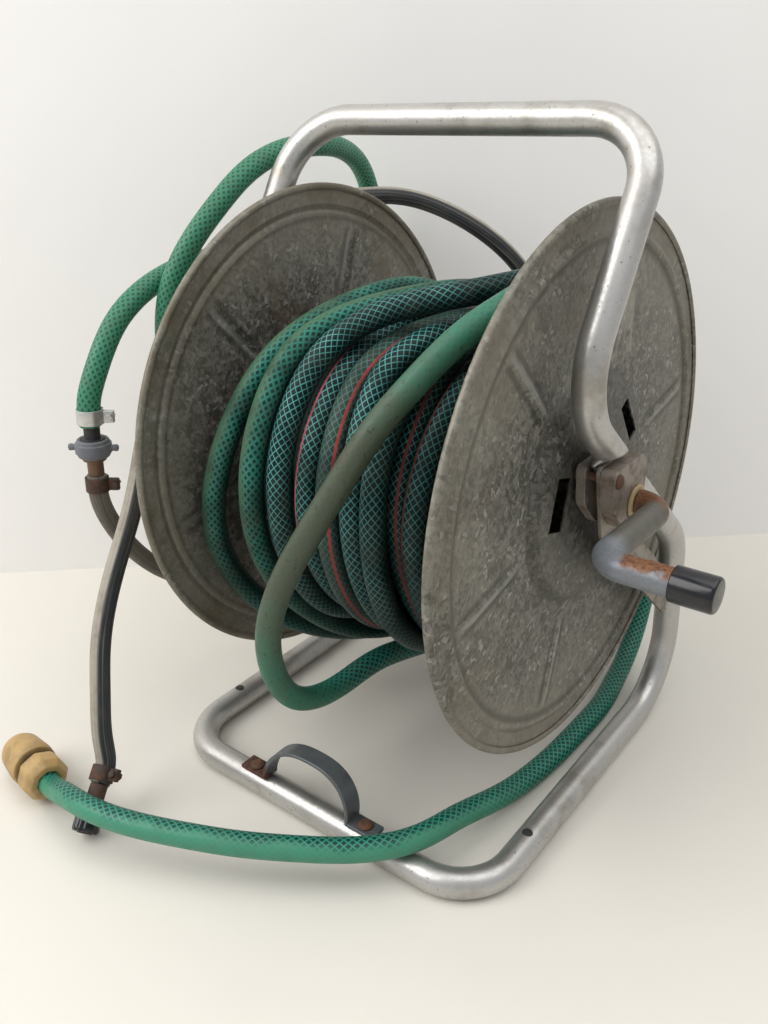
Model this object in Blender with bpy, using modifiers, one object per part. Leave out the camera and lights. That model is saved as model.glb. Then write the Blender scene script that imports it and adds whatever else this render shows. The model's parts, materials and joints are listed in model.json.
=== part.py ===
# Free-standing garden hose reel: bent tube frame, two pressed flanges, crank, wound hose and tap leader.
# Lengths are in metres. +X points to the crank side, +Y to the rear and +Z up.
import math

import bmesh
import bpy
import numpy as np
from mathutils import Matrix, Vector

MM = 0.001

# Clearances
SEAT_GAP = 0.3 * MM
RUNNING_GAP = 0.3 * MM

# Frame tube
TUBE_DIAMETER = 22.2 * MM
RAIL_HALF_SPACING = 153.4 * MM
WEAR_FLAT = 0.7 * MM
TOP_BAR_HEIGHT = 503 * MM
TOP_BAR_DEPTH = 26 * MM
KNEE_DEPTH = -74 * MM
KNEE_RISE = 89.6 * MM
HEEL_DEPTH = 130 * MM
HEEL_DROP = 87.4 * MM
REAR_DEPTH = 140 * MM
FRONT_DEPTH = -178.6 * MM
TOP_CORNER_RADIUS = 50 * MM
KNEE_RADIUS = 56 * MM
HEEL_RADIUS = 56 * MM
REAR_RADIUS = 60 * MM
FRONT_CORNER_RADIUS = 45 * MM
PRESSED_THICKNESS = 7 * MM
PRESSED_SPREAD = 1.42
PRESSED_SET = 4 * MM
PRESS_RIM_RISE = 38.6 * MM
PRESS_STEP = 2 * MM
PRESS_FADE = 62 * MM
PRESS_END = 104 * MM
RAIL_HOLE_RADIUS = 2.6 * MM
RAIL_HOLE_DEPTH = -110 * MM
PLATE_HOLE_DEPTH = 13 * MM
PLATE_HOLE_DROP = 51 * MM

# Axle and bearings
AXLE_HEIGHT = 254.4 * MM
AXLE_RADIUS = 8 * MM
BUSH_WALL = 2.2 * MM
BUSH_FLANGE_RADIUS = 12.5 * MM
BUSH_FLANGE_THICKNESS = 2.4 * MM
PLATE_THICKNESS = 3 * MM
CASTING_THICKNESS = 11 * MM
INNER_CASTING_THICKNESS = 7 * MM
RIVET_RADIUS = 3 * MM
RIVET_HEAD_RADIUS = 5.5 * MM

# Flanges and drum
FLANGE_RADIUS = 203.2 * MM
HUB_COLLAR_LENGTH = 3.05 * MM
SHEET_THICKNESS = 1.5 * MM
RIM_RADIUS = 3 * MM
BEAD_HEIGHT = 2.5 * MM
BEAD_RADIUS = 182 * MM
BEAD_HALF_WIDTH = 4.5 * MM
DISH_DEPTH = 5 * MM
DISH_RADIUS = 80 * MM
RIB_COUNT = 6
RIB_INNER = 98 * MM
RIB_OUTER = 172 * MM
RIB_RADIUS = 4 * MM
SLOT_WIDTH = 27 * MM
SLOT_HEIGHT = 42 * MM
SLOT_RADIUS = 48 * MM
SLOT_ANGLES = (172, 33)
DRUM_RADIUS = 90 * MM
DRUM_WALL = 1.5 * MM
HUB_RING_RADIUS = 15 * MM

# Crank
CRANK_TUBE_DIAMETER = 19 * MM
CRANK_ARM_LENGTH = 100 * MM
CRANK_NECK = 17.8 * MM
CRANK_ELBOW_RADIUS = 16 * MM
CRANK_REST_ANGLE = 1.5
GRIP_LENGTH = 72 * MM
CAP_DIAMETER = 23 * MM
CAP_LENGTH = 27 * MM
CAP_END = 2.5 * MM

# Hose and winding
HOSE_DIAMETER = 18.5 * MM
LEADER_DIAMETER = 16 * MM
CORE_RADIUS = 98.25 * MM
CORE_WIDTH = 222 * MM
TURN_GAP = 1.6 * MM
TURN_POINTS = 24
SETTLE_STEPS = 500
ROUTE_SPACING = 2.3
ROUTE_HALF_SPACING = 129.2 * MM
JOINT_RADIUS = 182.5 * MM
JOINT_ANGLE = 13

# Hoop on the front bar
HOOP_LEFT = -60 * MM
HOOP_RIGHT = 54 * MM
HOOP_CREST = 67 * MM
HOOP_LEAN = 9 * MM
HOOP_WIDTH = 15 * MM
HOOP_THICKNESS = 3 * MM
HOOP_FOOT = 24 * MM
SCREW_RADIUS = 2.4 * MM
SCREW_HEAD_RADIUS = 6 * MM
SCREW_HEAD_HEIGHT = 3 * MM

# Fittings
CLAMP_THICKNESS = 1.2 * MM
CLAMP_WIDTH = 12 * MM
CLAMP_LUG = 9 * MM
CLAMP_BOLT_RADIUS = 3 * MM
UNION_LENGTH = 15 * MM
UNION_RADIUS = 14 * MM
UNION_EAR_SPAN = 40 * MM
SPIGOT_RADIUS = 6.5 * MM
CONNECTOR_RADIUS = 19 * MM
CONNECTOR_BORE_RADIUS = 12 * MM
CONNECTOR_NUT_LENGTH = 21 * MM
CONNECTOR_SLEEVE_LENGTH = 35 * MM
CONNECTOR_GAP = 6 * MM
TAP_NUT_RADIUS = 10.5 * MM
TAP_NUT_LENGTH = 14 * MM
INLET_RADIUS = 14 * MM
INLET_LENGTH = 26 * MM
JOINER_LENGTH = 46 * MM

# What follows from the sizes above
TUBE_RADIUS = TUBE_DIAMETER / 2
FLOOR_LINE = TUBE_RADIUS - WEAR_FLAT
BAR_TOP = FLOOR_LINE + TUBE_RADIUS
HOSE_RADIUS = HOSE_DIAMETER / 2
LEADER_RADIUS = LEADER_DIAMETER / 2
PRESSED_OUTER = RAIL_HALF_SPACING - PRESSED_SET + PRESSED_THICKNESS / 2
PRESSED_INNER = PRESSED_OUTER - PRESSED_THICKNESS
PLATE_INNER = PRESSED_OUTER + SEAT_GAP
PLATE_OUTER = PLATE_INNER + PLATE_THICKNESS
CASTING_INNER = PLATE_OUTER + SEAT_GAP
CASTING_OUTER = CASTING_INNER + CASTING_THICKNESS
BUSH_OUTER = CASTING_OUTER + SEAT_GAP + BUSH_FLANGE_THICKNESS
BACK_CASTING_OUTER = PRESSED_INNER - SEAT_GAP
BACK_CASTING_INNER = BACK_CASTING_OUTER - INNER_CASTING_THICKNESS
FLANGE_HALF_SPACING = BACK_CASTING_INNER - 2 * SEAT_GAP - HUB_COLLAR_LENGTH - DISH_DEPTH - SHEET_THICKNESS / 2
KNEE_HEIGHT = AXLE_HEIGHT + KNEE_RISE
HEEL_HEIGHT = AXLE_HEIGHT - HEEL_DROP
PRESS_RIM_HEIGHT = AXLE_HEIGHT + PRESS_RIM_RISE
AXLE_END = BUSH_OUTER
BUSH_BORE = AXLE_RADIUS + RUNNING_GAP
BUSH_RADIUS = BUSH_BORE + BUSH_WALL
CASTING_BORE = BUSH_RADIUS + SEAT_GAP
FLANGE_FACE = FLANGE_HALF_SPACING + SHEET_THICKNESS / 2
CRANK_ARM_OFFSET = AXLE_END + CRANK_NECK
CRANK_END = CRANK_ARM_OFFSET + GRIP_LENGTH
CAP_OUTER = CRANK_END + SEAT_GAP + CAP_END
INLET_END = AXLE_END + SEAT_GAP + INLET_LENGTH
ORIGIN_X = (CAP_OUTER - INLET_END) / 2

for old in list(bpy.data.objects):
    bpy.data.objects.remove(old, do_unlink=True)

parts = bpy.data.collections.new("hose_reel")
cutters = bpy.data.collections.new("cutters")
bpy.context.scene.collection.children.link(parts)
bpy.context.scene.collection.children.link(cutters)

root = bpy.data.objects.new("hose_reel_origin", None)
root.location = (-ORIGIN_X, 0, 0)
parts.objects.link(root)
axis = bpy.data.objects.new("reel_axis", None)
axis.location = (0, 0, AXLE_HEIGHT)
axis.parent = root
parts.objects.link(axis)


def finish_material(name, color, roughness, metallic):
    """One Principled material for one sub-part."""
    made = bpy.data.materials.new(name)
    made.use_nodes = True
    shader = made.node_tree.nodes["Principled BSDF"]
    shader.inputs["Base Color"].default_value = (*color, 1)
    shader.inputs["Roughness"].default_value = roughness
    shader.inputs["Metallic"].default_value = metallic
    return made


ALUMINIUM = ((0.62, 0.61, 0.59), 0.42, 1.0)
GALVANISED = ((0.36, 0.36, 0.34), 0.55, 0.9)
CAST = ((0.46, 0.41, 0.38), 0.6, 0.7)
RUSTY = ((0.2, 0.1, 0.06), 0.8, 0.4)
STEEL = ((0.5, 0.5, 0.5), 0.4, 1.0)
PAINTED = ((0.3, 0.32, 0.36), 0.45, 0.3)
NYLON = ((0.6, 0.53, 0.38), 0.5, 0.0)
BLACK = ((0.02, 0.02, 0.025), 0.3, 0.0)
GREEN = ((0.05, 0.25, 0.17), 0.45, 0.0)
DARK_RUBBER = ((0.07, 0.075, 0.075), 0.6, 0.0)
TAN = ((0.72, 0.5, 0.22), 0.45, 0.0)
GREY_PLASTIC = ((0.22, 0.23, 0.26), 0.5, 0.0)


def add_part(obj, finish, parent=root):
    """Puts an object into the assembly with its own material."""
    for owner in list(obj.users_collection):
        owner.objects.unlink(obj)
    parts.objects.link(obj)
    obj.parent = parent
    obj.data.materials.clear()
    obj.data.materials.append(finish_material(obj.name, *finish))
    if obj.type == "MESH":
        obj.data.shade_smooth()
        obj.data.set_sharp_from_angle(angle=math.radians(35))
    return obj


def add_cutter(obj, parent=root):
    """Puts an object among the cutters, which are not rendered."""
    for owner in list(obj.users_collection):
        owner.objects.unlink(obj)
    cutters.objects.link(obj)
    obj.parent = parent
    obj.hide_render = True
    obj.display_type = "WIRE"
    return obj


def boolean(obj, other, operation="DIFFERENCE"):
    modifier = obj.modifiers.new(operation.title(), "BOOLEAN")
    modifier.operation = operation
    modifier.solver = "EXACT"
    modifier.object = other


def mesh_object(name, mesh_data):
    mesh = bpy.data.meshes.new(name)
    mesh_data.to_mesh(mesh)
    mesh_data.free()
    obj = bpy.data.objects.new(name, mesh)
    bpy.context.scene.collection.objects.link(obj)
    return obj


def aim(direction):
    """A rotation that turns the local Z axis to a direction."""
    return Vector(direction).to_track_quat("Z", "Y").to_euler()


def cylinder(name, radius, length, place, direction=(0, 0, 1), sides=24, top_radius=None):
    """A closed cylinder or cone whose middle is at place."""
    shape = bmesh.new()
    bmesh.ops.create_cone(
        shape,
        cap_ends=True,
        segments=sides,
        radius1=radius,
        radius2=radius if top_radius is None else top_radius,
        depth=length,
    )
    obj = mesh_object(name, shape)
    obj.location = place
    obj.rotation_euler = aim(direction)
    return obj


def box(name, size, place, rotation=(0, 0, 0)):
    shape = bmesh.new()
    bmesh.ops.create_cube(shape, size=1)
    bmesh.ops.scale(shape, vec=size, verts=shape.verts)
    obj = mesh_object(name, shape)
    obj.location = place
    obj.rotation_euler = rotation
    return obj


def turned(name, outline, place, direction=(1, 0, 0), sides=32, ring=False):
    """A revolved solid. The outline lists (height, radius), from the top down its outer side."""
    mesh = bpy.data.meshes.new(name)
    points = [(radius, 0, height) for height, radius in outline]
    edges = [(i, i + 1) for i in range(len(points) - 1)]
    if ring:
        edges.append((len(points) - 1, 0))
    mesh.from_pydata(points, edges, [])
    obj = bpy.data.objects.new(name, mesh)
    bpy.context.scene.collection.objects.link(obj)
    screw = obj.modifiers.new("Screw", "SCREW")
    screw.axis = "Z"
    screw.angle = math.tau
    screw.steps = sides
    screw.render_steps = sides
    screw.use_merge_vertices = True
    screw.merge_threshold = 0.00001
    obj.location = place
    obj.rotation_euler = aim(direction)
    return obj


def smooth_route(points, spacing):
    """A natural cubic through the route's points, read at even steps of about the spacing."""
    route = np.array(points, float)
    chord = np.linalg.norm(np.diff(route, axis=0), axis=1)
    knots = np.concatenate([[0], np.cumsum(np.sqrt(chord))])
    count = len(route)
    steps = np.diff(knots)
    system = np.eye(count)
    right = np.zeros(route.shape)
    for i in range(1, count - 1):
        system[i, i - 1] = steps[i - 1]
        system[i, i] = 2 * (steps[i - 1] + steps[i])
        system[i, i + 1] = steps[i]
        slope_after = (route[i + 1] - route[i]) / steps[i]
        slope_before = (route[i] - route[i - 1]) / steps[i - 1]
        right[i] = 6 * (slope_after - slope_before)
    curvature = np.linalg.solve(system, right)
    at = np.linspace(0, knots[-1], 3000)
    span = np.clip(np.searchsorted(knots, at, side="right") - 1, 0, count - 2)
    step = steps[span][:, None]
    before = (knots[span + 1] - at)[:, None] / step
    after = (at - knots[span])[:, None] / step
    fine = before * route[span] + after * route[span + 1]
    fine += ((before**3 - before) * curvature[span] + (after**3 - after) * curvature[span + 1]) * step**2 / 6
    length = np.concatenate([[0], np.cumsum(np.linalg.norm(np.diff(fine, axis=0), axis=1))])
    marks = np.linspace(0, length[-1], max(4, round(length[-1] / spacing) + 1))
    return np.stack([np.interp(marks, length, fine[:, k]) for k in range(route.shape[1])], axis=1)


def tube(name, points, radius, finish, resolution=2, cyclic=False, parent=root):
    """A round bar or hose along points, with its ends closed."""
    curve = bpy.data.curves.new(name, "CURVE")
    curve.dimensions = "3D"
    curve.bevel_depth = radius
    curve.bevel_resolution = resolution
    curve.use_fill_caps = True
    spline = curve.splines.new("POLY")
    spline.points.add(len(points) - 1)
    for point, place in zip(spline.points, points):
        point.co = (*place, 1)
    spline.use_cyclic_u = cyclic
    obj = bpy.data.objects.new(name, curve)
    parts.objects.link(obj)
    return add_part(obj, finish, parent)


def as_mesh(obj):
    """The same object with its curve made into one welded mesh."""
    bpy.context.view_layer.update()
    graph = bpy.context.evaluated_depsgraph_get()
    mesh = bpy.data.meshes.new_from_object(obj.evaluated_get(graph))
    shape = bmesh.new()
    shape.from_mesh(mesh)
    bmesh.ops.remove_doubles(shape, verts=shape.verts, dist=0.00001)
    bmesh.ops.recalc_face_normals(shape, faces=shape.faces)
    name = obj.name
    parent = obj.parent
    rotation = obj.rotation_euler.copy()
    location = obj.location.copy()
    bpy.data.objects.remove(obj, do_unlink=True)
    made = mesh_object(name, shape)
    made.name = name
    made.location = location
    made.rotation_euler = rotation
    made.parent = parent
    return made


def arc_corner(before, corner, after, radius, step=math.radians(18)):
    """The points of a round corner between two straight runs."""
    corner = Vector(corner)
    back = (Vector(before) - corner).normalized()
    ahead = (Vector(after) - corner).normalized()
    opening = back.angle(ahead)
    reach = radius / math.tan(opening / 2)
    centre = corner + (back + ahead).normalized() * radius / math.sin(opening / 2)
    start = corner + back * reach - centre
    end = corner + ahead * reach - centre
    sweep = start.angle(end)
    count = max(2, math.ceil(sweep / step))
    made = []
    for i in range(count + 1):
        share = i / count
        ray = start * math.sin((1 - share) * sweep) + end * math.sin(share * sweep)
        made.append(centre + ray / math.sin(sweep))
    return made


def rounded_path(corners, radii, step=math.radians(18)):
    path = [Vector(corners[0])]
    for i, radius in enumerate(radii, start=1):
        path += arc_corner(corners[i - 1], corners[i], corners[i + 1], radius, step)
    path.append(Vector(corners[-1]))
    return path


def flat_outline(name, points, thickness, place, rotation):
    """A flat plate with the given 2D outline, centred on its own plane."""
    curve = bpy.data.curves.new(name, "CURVE")
    curve.dimensions = "2D"
    curve.fill_mode = "BOTH"
    curve.extrude = thickness / 2
    spline = curve.splines.new("POLY")
    spline.points.add(len(points) - 1)
    for point, (across, along) in zip(spline.points, points):
        point.co = (across, along, 0, 1)
    spline.use_cyclic_u = True
    obj = bpy.data.objects.new(name, curve)
    bpy.context.scene.collection.objects.link(obj)
    obj.location = place
    obj.rotation_euler = rotation
    return as_mesh(obj)


def rounded_outline(corners, radii):
    """A closed 2D outline with round corners."""
    made = []
    count = len(corners)
    for i, radius in enumerate(radii):
        before = (*corners[i - 1], 0)
        after = (*corners[(i + 1) % count], 0)
        arc = arc_corner(before, (*corners[i], 0), after, radius, math.radians(30))
        made += [(point.x, point.y) for point in arc]
    return made


# The frame: one loop of tube, alike on both sides
def frame_side():
    """Centre line of the right half, from the middle of the top bar to the middle of the front bar."""
    span = RAIL_HALF_SPACING
    corners = [
        (0, TOP_BAR_DEPTH, TOP_BAR_HEIGHT),
        (span, TOP_BAR_DEPTH, TOP_BAR_HEIGHT),
        (span, KNEE_DEPTH, KNEE_HEIGHT),
        (span, HEEL_DEPTH, HEEL_HEIGHT),
        (span, REAR_DEPTH, FLOOR_LINE),
        (span, FRONT_DEPTH, FLOOR_LINE),
        (0, FRONT_DEPTH, FLOOR_LINE),
    ]
    radii = [TOP_CORNER_RADIUS, KNEE_RADIUS, HEEL_RADIUS, REAR_RADIUS, FRONT_CORNER_RADIUS]
    return corners, rounded_path(corners, radii)


def seat_axes(corners):
    """The foot of the axle on the sloping run, the run's direction and its upper normal."""
    knee = Vector(corners[2])
    run = (Vector(corners[3]) - knee).normalized()
    axle = Vector((RAIL_HALF_SPACING, 0, AXLE_HEIGHT))
    foot = knee + run * (axle - knee).dot(run)
    upper = Vector((0, -run.z, run.y))
    return foot, run, upper


side_corners, side_path = frame_side()
seat_foot, seat_run, seat_upper = seat_axes(side_corners)
rim_along = (seat_foot.z - PRESS_RIM_HEIGHT) / -seat_run.z
rim_slope = seat_upper.z / -seat_run.z


def pressed_share(along):
    """How far the tube is pressed flat, from 0 to 1, at a distance along the sloping run."""
    if along < rim_along or along > PRESS_END:
        return 0.0
    if along < PRESS_FADE:
        return 1.0
    share = (PRESS_END - along) / (PRESS_END - PRESS_FADE)
    return share * share * (3 - 2 * share)


def press_tube(obj):
    """Presses each sloping run flat where the bearing bracket sits."""
    for vertex in obj.data.vertices:
        side = 1 if vertex.co.x > 0 else -1
        across = side * vertex.co.x - RAIL_HALF_SPACING
        if abs(across) > 2 * TUBE_RADIUS:
            continue
        offset = Vector((0, vertex.co.y - seat_foot.y, vertex.co.z - seat_foot.z))
        lift = offset.dot(seat_upper)
        along = offset.dot(seat_run)
        if abs(lift) > 1.5 * TUBE_RADIUS:
            continue
        share = pressed_share(along)
        if abs(along - rim_along) < PRESS_STEP:
            slide = seat_run * lift * rim_slope
            vertex.co.y += slide.y
            vertex.co.z += slide.z
        if share == 0:
            continue
        flat = across * PRESSED_THICKNESS / TUBE_DIAMETER - PRESSED_SET
        vertex.co.x = side * (RAIL_HALF_SPACING + across + (flat - across) * share)
        widened = seat_upper * lift * (PRESSED_SPREAD - 1) * share
        vertex.co.y += widened.y
        vertex.co.z += widened.z


def frame_loop():
    path = []
    for i, point in enumerate(side_path):
        path.append(point)
        along = (point - seat_foot).dot(seat_run)
        after = side_path[i + 1] if i + 1 < len(side_path) else point
        if abs(point.x - RAIL_HALF_SPACING) > 0.1 * MM or (after - point).length < 100 * MM:
            continue
        if abs((point - seat_foot - seat_run * along).length) > 0.1 * MM or along > 0:
            continue
        marks = [rim_along - PRESS_STEP / 2, rim_along + PRESS_STEP / 2, PRESS_FADE]
        marks += [PRESS_FADE + (PRESS_END - PRESS_FADE) * share for share in (0.3, 0.65, 1.02)]
        path += [seat_foot + seat_run * mark for mark in marks]
    left = [Vector((-point.x, point.y, point.z)) for point in reversed(path[1:-1])]
    return path + left


def build_frame():
    loop = tube("frame_tube", frame_loop(), TUBE_RADIUS, ALUMINIUM, resolution=3, cyclic=True)
    frame = as_mesh(loop)
    press_tube(frame)
    add_part(frame, ALUMINIUM)
    floor_slab = box("floor_slab", (1, 1, 0.04), (0, 0, -0.02))
    boolean(frame, add_cutter(floor_slab))
    for side in (-1, 1):
        place = (side * RAIL_HALF_SPACING, RAIL_HOLE_DEPTH, BAR_TOP)
        hole = cylinder("rail_hole", RAIL_HOLE_RADIUS, TUBE_RADIUS, place, sides=12)
        boolean(frame, add_cutter(hole))
    return frame


# The hoop that holds the hose end, on the front bar
GREY_STRIP = ((0.2, 0.22, 0.24), 0.5, 0.6)


def build_hoop():
    foot_base = BAR_TOP + SEAT_GAP
    middle = (HOOP_LEFT + HOOP_RIGHT) / 2
    foot_span = (HOOP_RIGHT - HOOP_LEFT) / 2
    half_arch = foot_span - HOOP_FOOT / 2
    rise = HOOP_CREST - foot_base
    outer = [(foot_span + HOOP_FOOT / 2, 0), (foot_span + HOOP_FOOT / 2, HOOP_THICKNESS)]
    inner = [(foot_span + HOOP_FOOT / 2, 0)]
    for i in range(11):
        angle = math.pi / 2 * i / 10
        outer.append((half_arch * math.cos(angle) ** 0.8, HOOP_THICKNESS + (rise - HOOP_THICKNESS) * math.sin(angle)))
        inner.append(((half_arch - HOOP_THICKNESS) * math.cos(angle) ** 0.8, (rise - HOOP_THICKNESS) * math.sin(angle)))
    left_outer = [(-x, z) for x, z in reversed(outer[1:-1])]
    left_inner = [(-x, z) for x, z in inner[1:-1]]
    outline = outer[1:] + left_outer + [(-inner[0][0], 0)] + left_inner + inner[:0:-1] + [inner[0]]
    lean = HOOP_LEAN / (rise - HOOP_THICKNESS)
    outline = [(x + lean * max(z - HOOP_THICKNESS, 0), z) for x, z in outline]
    place = (middle, FRONT_DEPTH, foot_base)
    hoop = flat_outline("hoop_strip", outline, HOOP_WIDTH, place, (math.pi / 2, 0, 0))
    add_part(hoop, GREY_STRIP)
    for name, across in (("hoop_screw_left", HOOP_LEFT), ("hoop_screw_right", HOOP_RIGHT)):
        seat = (across, FRONT_DEPTH, foot_base)
        hole = cylinder(name + "_hole", SCREW_RADIUS + SEAT_GAP, 30 * MM, seat, sides=12)
        boolean(hoop, add_cutter(hole))
        boolean(bpy.data.objects["frame_tube"], hole)
        shank = foot_base + HOOP_THICKNESS + SEAT_GAP
        outline = [
            (shank + SCREW_HEAD_HEIGHT, 0),
            (shank + SCREW_HEAD_HEIGHT, SCREW_HEAD_RADIUS * 0.6),
            (shank + SCREW_HEAD_HEIGHT * 0.4, SCREW_HEAD_RADIUS),
            (shank, SCREW_HEAD_RADIUS),
            (shank, SCREW_RADIUS),
            (FLOOR_LINE + 2 * MM, SCREW_RADIUS),
            (FLOOR_LINE + 2 * MM, 0),
        ]
        screw = turned(name, outline, (across, FRONT_DEPTH, 0), (0, 0, 1), sides=12)
        add_part(screw, RUSTY)


# Bearing brackets
def seat_point(along, lift):
    """(y, z) of a point given along the sloping run and above it."""
    place = seat_foot + seat_run * along + seat_upper * lift
    return (place.y, place.z)


def plate_outline():
    """The bracket plate: it lies on the pressed seat and its arm reaches the heel of the frame."""
    heel_front = HEEL_DEPTH - TUBE_RADIUS - SEAT_GAP
    corners = [
        (-38 * MM, PRESS_RIM_HEIGHT - 3.5 * MM),
        (4 * MM, PRESS_RIM_HEIGHT - 3.5 * MM),
        (42.5 * MM, AXLE_HEIGHT + 2.6 * MM),
        (50 * MM, AXLE_HEIGHT - 55.4 * MM),
        (heel_front - 15 * MM, HEEL_HEIGHT - 16 * MM),
        (heel_front - 0.5 * MM, HEEL_HEIGHT - 31 * MM),
        (heel_front + 2 * MM, HEEL_HEIGHT - 72 * MM),
        (60 * MM, HEEL_HEIGHT - 17 * MM),
        (10 * MM, AXLE_HEIGHT - 59.4 * MM),
        (-25 * MM, AXLE_HEIGHT - 22.4 * MM),
    ]
    return rounded_outline(corners, [value * MM for value in (5, 5, 10, 14, 6, 2, 2, 12, 14, 12)])


def casting_outline():
    """The bearing block: a waisted shield from the pressed rim down round the axle."""
    top = PRESS_RIM_HEIGHT - 5 * MM
    corners = [
        (-37 * MM, top),
        (9 * MM, top),
        (17 * MM, top - 9 * MM),
        (15 * MM, AXLE_HEIGHT - 17 * MM),
        (-13 * MM, AXLE_HEIGHT - 18 * MM),
        (-35 * MM, AXLE_HEIGHT + 5 * MM),
    ]
    return rounded_outline(corners, [value * MM for value in (4, 5, 5, 10, 10, 12)])


def build_bracket(side, label):
    turn = (math.pi / 2, 0, math.pi / 2)
    middle = (PLATE_INNER + PLATE_OUTER) / 2
    plate = flat_outline("bracket_plate_" + label, plate_outline(), PLATE_THICKNESS, (side * middle, 0, 0), turn)
    front = (CASTING_INNER + CASTING_OUTER) / 2
    name = "bearing_block_" + label
    block = flat_outline(name, casting_outline(), CASTING_THICKNESS, (side * front, 0, 0), turn)
    back = (BACK_CASTING_INNER + BACK_CASTING_OUTER) / 2
    name = "backing_block_" + label
    backing = flat_outline(name, casting_outline(), INNER_CASTING_THICKNESS, (side * back, 0, 0), turn)
    bore_place = (side * RAIL_HALF_SPACING, 0, AXLE_HEIGHT)
    bore = cylinder("bore_" + label, CASTING_BORE, 80 * MM, bore_place, (1, 0, 0), sides=24)
    add_cutter(bore)
    hole_place = (side * RAIL_HALF_SPACING, PLATE_HOLE_DEPTH, AXLE_HEIGHT - PLATE_HOLE_DROP)
    hole = cylinder("plate_hole_" + label, 3.5 * MM, 40 * MM, hole_place, (1, 0, 0), sides=12)
    for piece, finish in ((plate, CAST), (block, CAST), (backing, CAST)):
        add_part(piece, finish)
        boolean(piece, bore)
    boolean(plate, add_cutter(hole))
    boolean(bpy.data.objects["frame_tube"], bore)
    rivets = {"upper": (-30 * MM, PRESS_RIM_HEIGHT - 13 * MM), "lower": seat_point(30 * MM, -1 * MM)}
    frame = bpy.data.objects["frame_tube"]
    for place_name, (depth, height) in rivets.items():
        is_upper = place_name == "upper"
        outside = CASTING_OUTER if is_upper else PLATE_OUTER
        inside = BACK_CASTING_INNER if is_upper else PRESSED_INNER
        name = f"rivet_{place_name}_{label}"
        head = 2.6 * MM
        outline = [
            (outside + SEAT_GAP + head, 0),
            (outside + SEAT_GAP + head, RIVET_HEAD_RADIUS * 0.55),
            (outside + SEAT_GAP + head * 0.4, RIVET_HEAD_RADIUS),
            (outside + SEAT_GAP, RIVET_HEAD_RADIUS),
            (outside + SEAT_GAP, RIVET_RADIUS),
            (inside - SEAT_GAP, RIVET_RADIUS),
            (inside - SEAT_GAP, RIVET_HEAD_RADIUS),
            (inside - SEAT_GAP - 1.6 * MM, RIVET_HEAD_RADIUS),
            (inside - SEAT_GAP - 1.6 * MM, 0),
        ]
        rivet = turned(name, outline, (0, depth, height), (side, 0, 0), sides=12)
        add_part(rivet, RUSTY)
        hole_place = (side * RAIL_HALF_SPACING, depth, height)
        name = f"rivet_hole_{place_name}_{label}"
        hole = cylinder(name, RIVET_RADIUS + SEAT_GAP, 80 * MM, hole_place, (1, 0, 0), sides=12)
        add_cutter(hole)
        pieces = (plate, frame, block, backing) if is_upper else (plate, frame)
        for piece in pieces:
            boolean(piece, hole)


def build_bush(side, label):
    """A flanged bush that the axle runs in, pushed into the bearing block."""
    shoulder = CASTING_OUTER + SEAT_GAP
    outline = [
        (shoulder + BUSH_FLANGE_THICKNESS, BUSH_BORE),
        (shoulder + BUSH_FLANGE_THICKNESS, BUSH_FLANGE_RADIUS),
        (shoulder, BUSH_FLANGE_RADIUS),
        (shoulder, BUSH_RADIUS),
        (BACK_CASTING_INNER, BUSH_RADIUS),
        (BACK_CASTING_INNER, BUSH_BORE),
    ]
    bush = turned("axle_bush_" + label, outline, (0, 0, AXLE_HEIGHT), (side, 0, 0), sides=24, ring=True)
    add_part(bush, NYLON)


# The reel
def flange_outline():
    """Outer face from the hub to the rolled rim, then back along the inner face."""
    hub = AXLE_RADIUS + SEAT_GAP
    half = SHEET_THICKNESS / 2
    rim = FLANGE_RADIUS - RIM_RADIUS
    face = [
        (DISH_DEPTH, hub),
        (DISH_DEPTH, DISH_RADIUS),
        (0, DISH_RADIUS + 7 * MM),
        (0, BEAD_RADIUS - BEAD_HALF_WIDTH),
        (BEAD_HEIGHT, BEAD_RADIUS),
        (0, BEAD_RADIUS + BEAD_HALF_WIDTH),
        (0, rim - 1.5 * MM),
    ]
    front = [(height + half, radius) for height, radius in face]
    back = [(height - half, radius) for height, radius in reversed(face)]
    roll = []
    for i in range(6):
        angle = math.radians(140 - 56 * i)
        roll.append((RIM_RADIUS * math.sin(angle), rim + RIM_RADIUS * math.cos(angle)))
    return front + roll + back


def polar(radius, degrees, across=0.0):
    """A point at a radius and an angle about the axle, from the rear upwards."""
    angle = math.radians(degrees)
    return (across, radius * math.cos(angle), radius * math.sin(angle))


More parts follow.
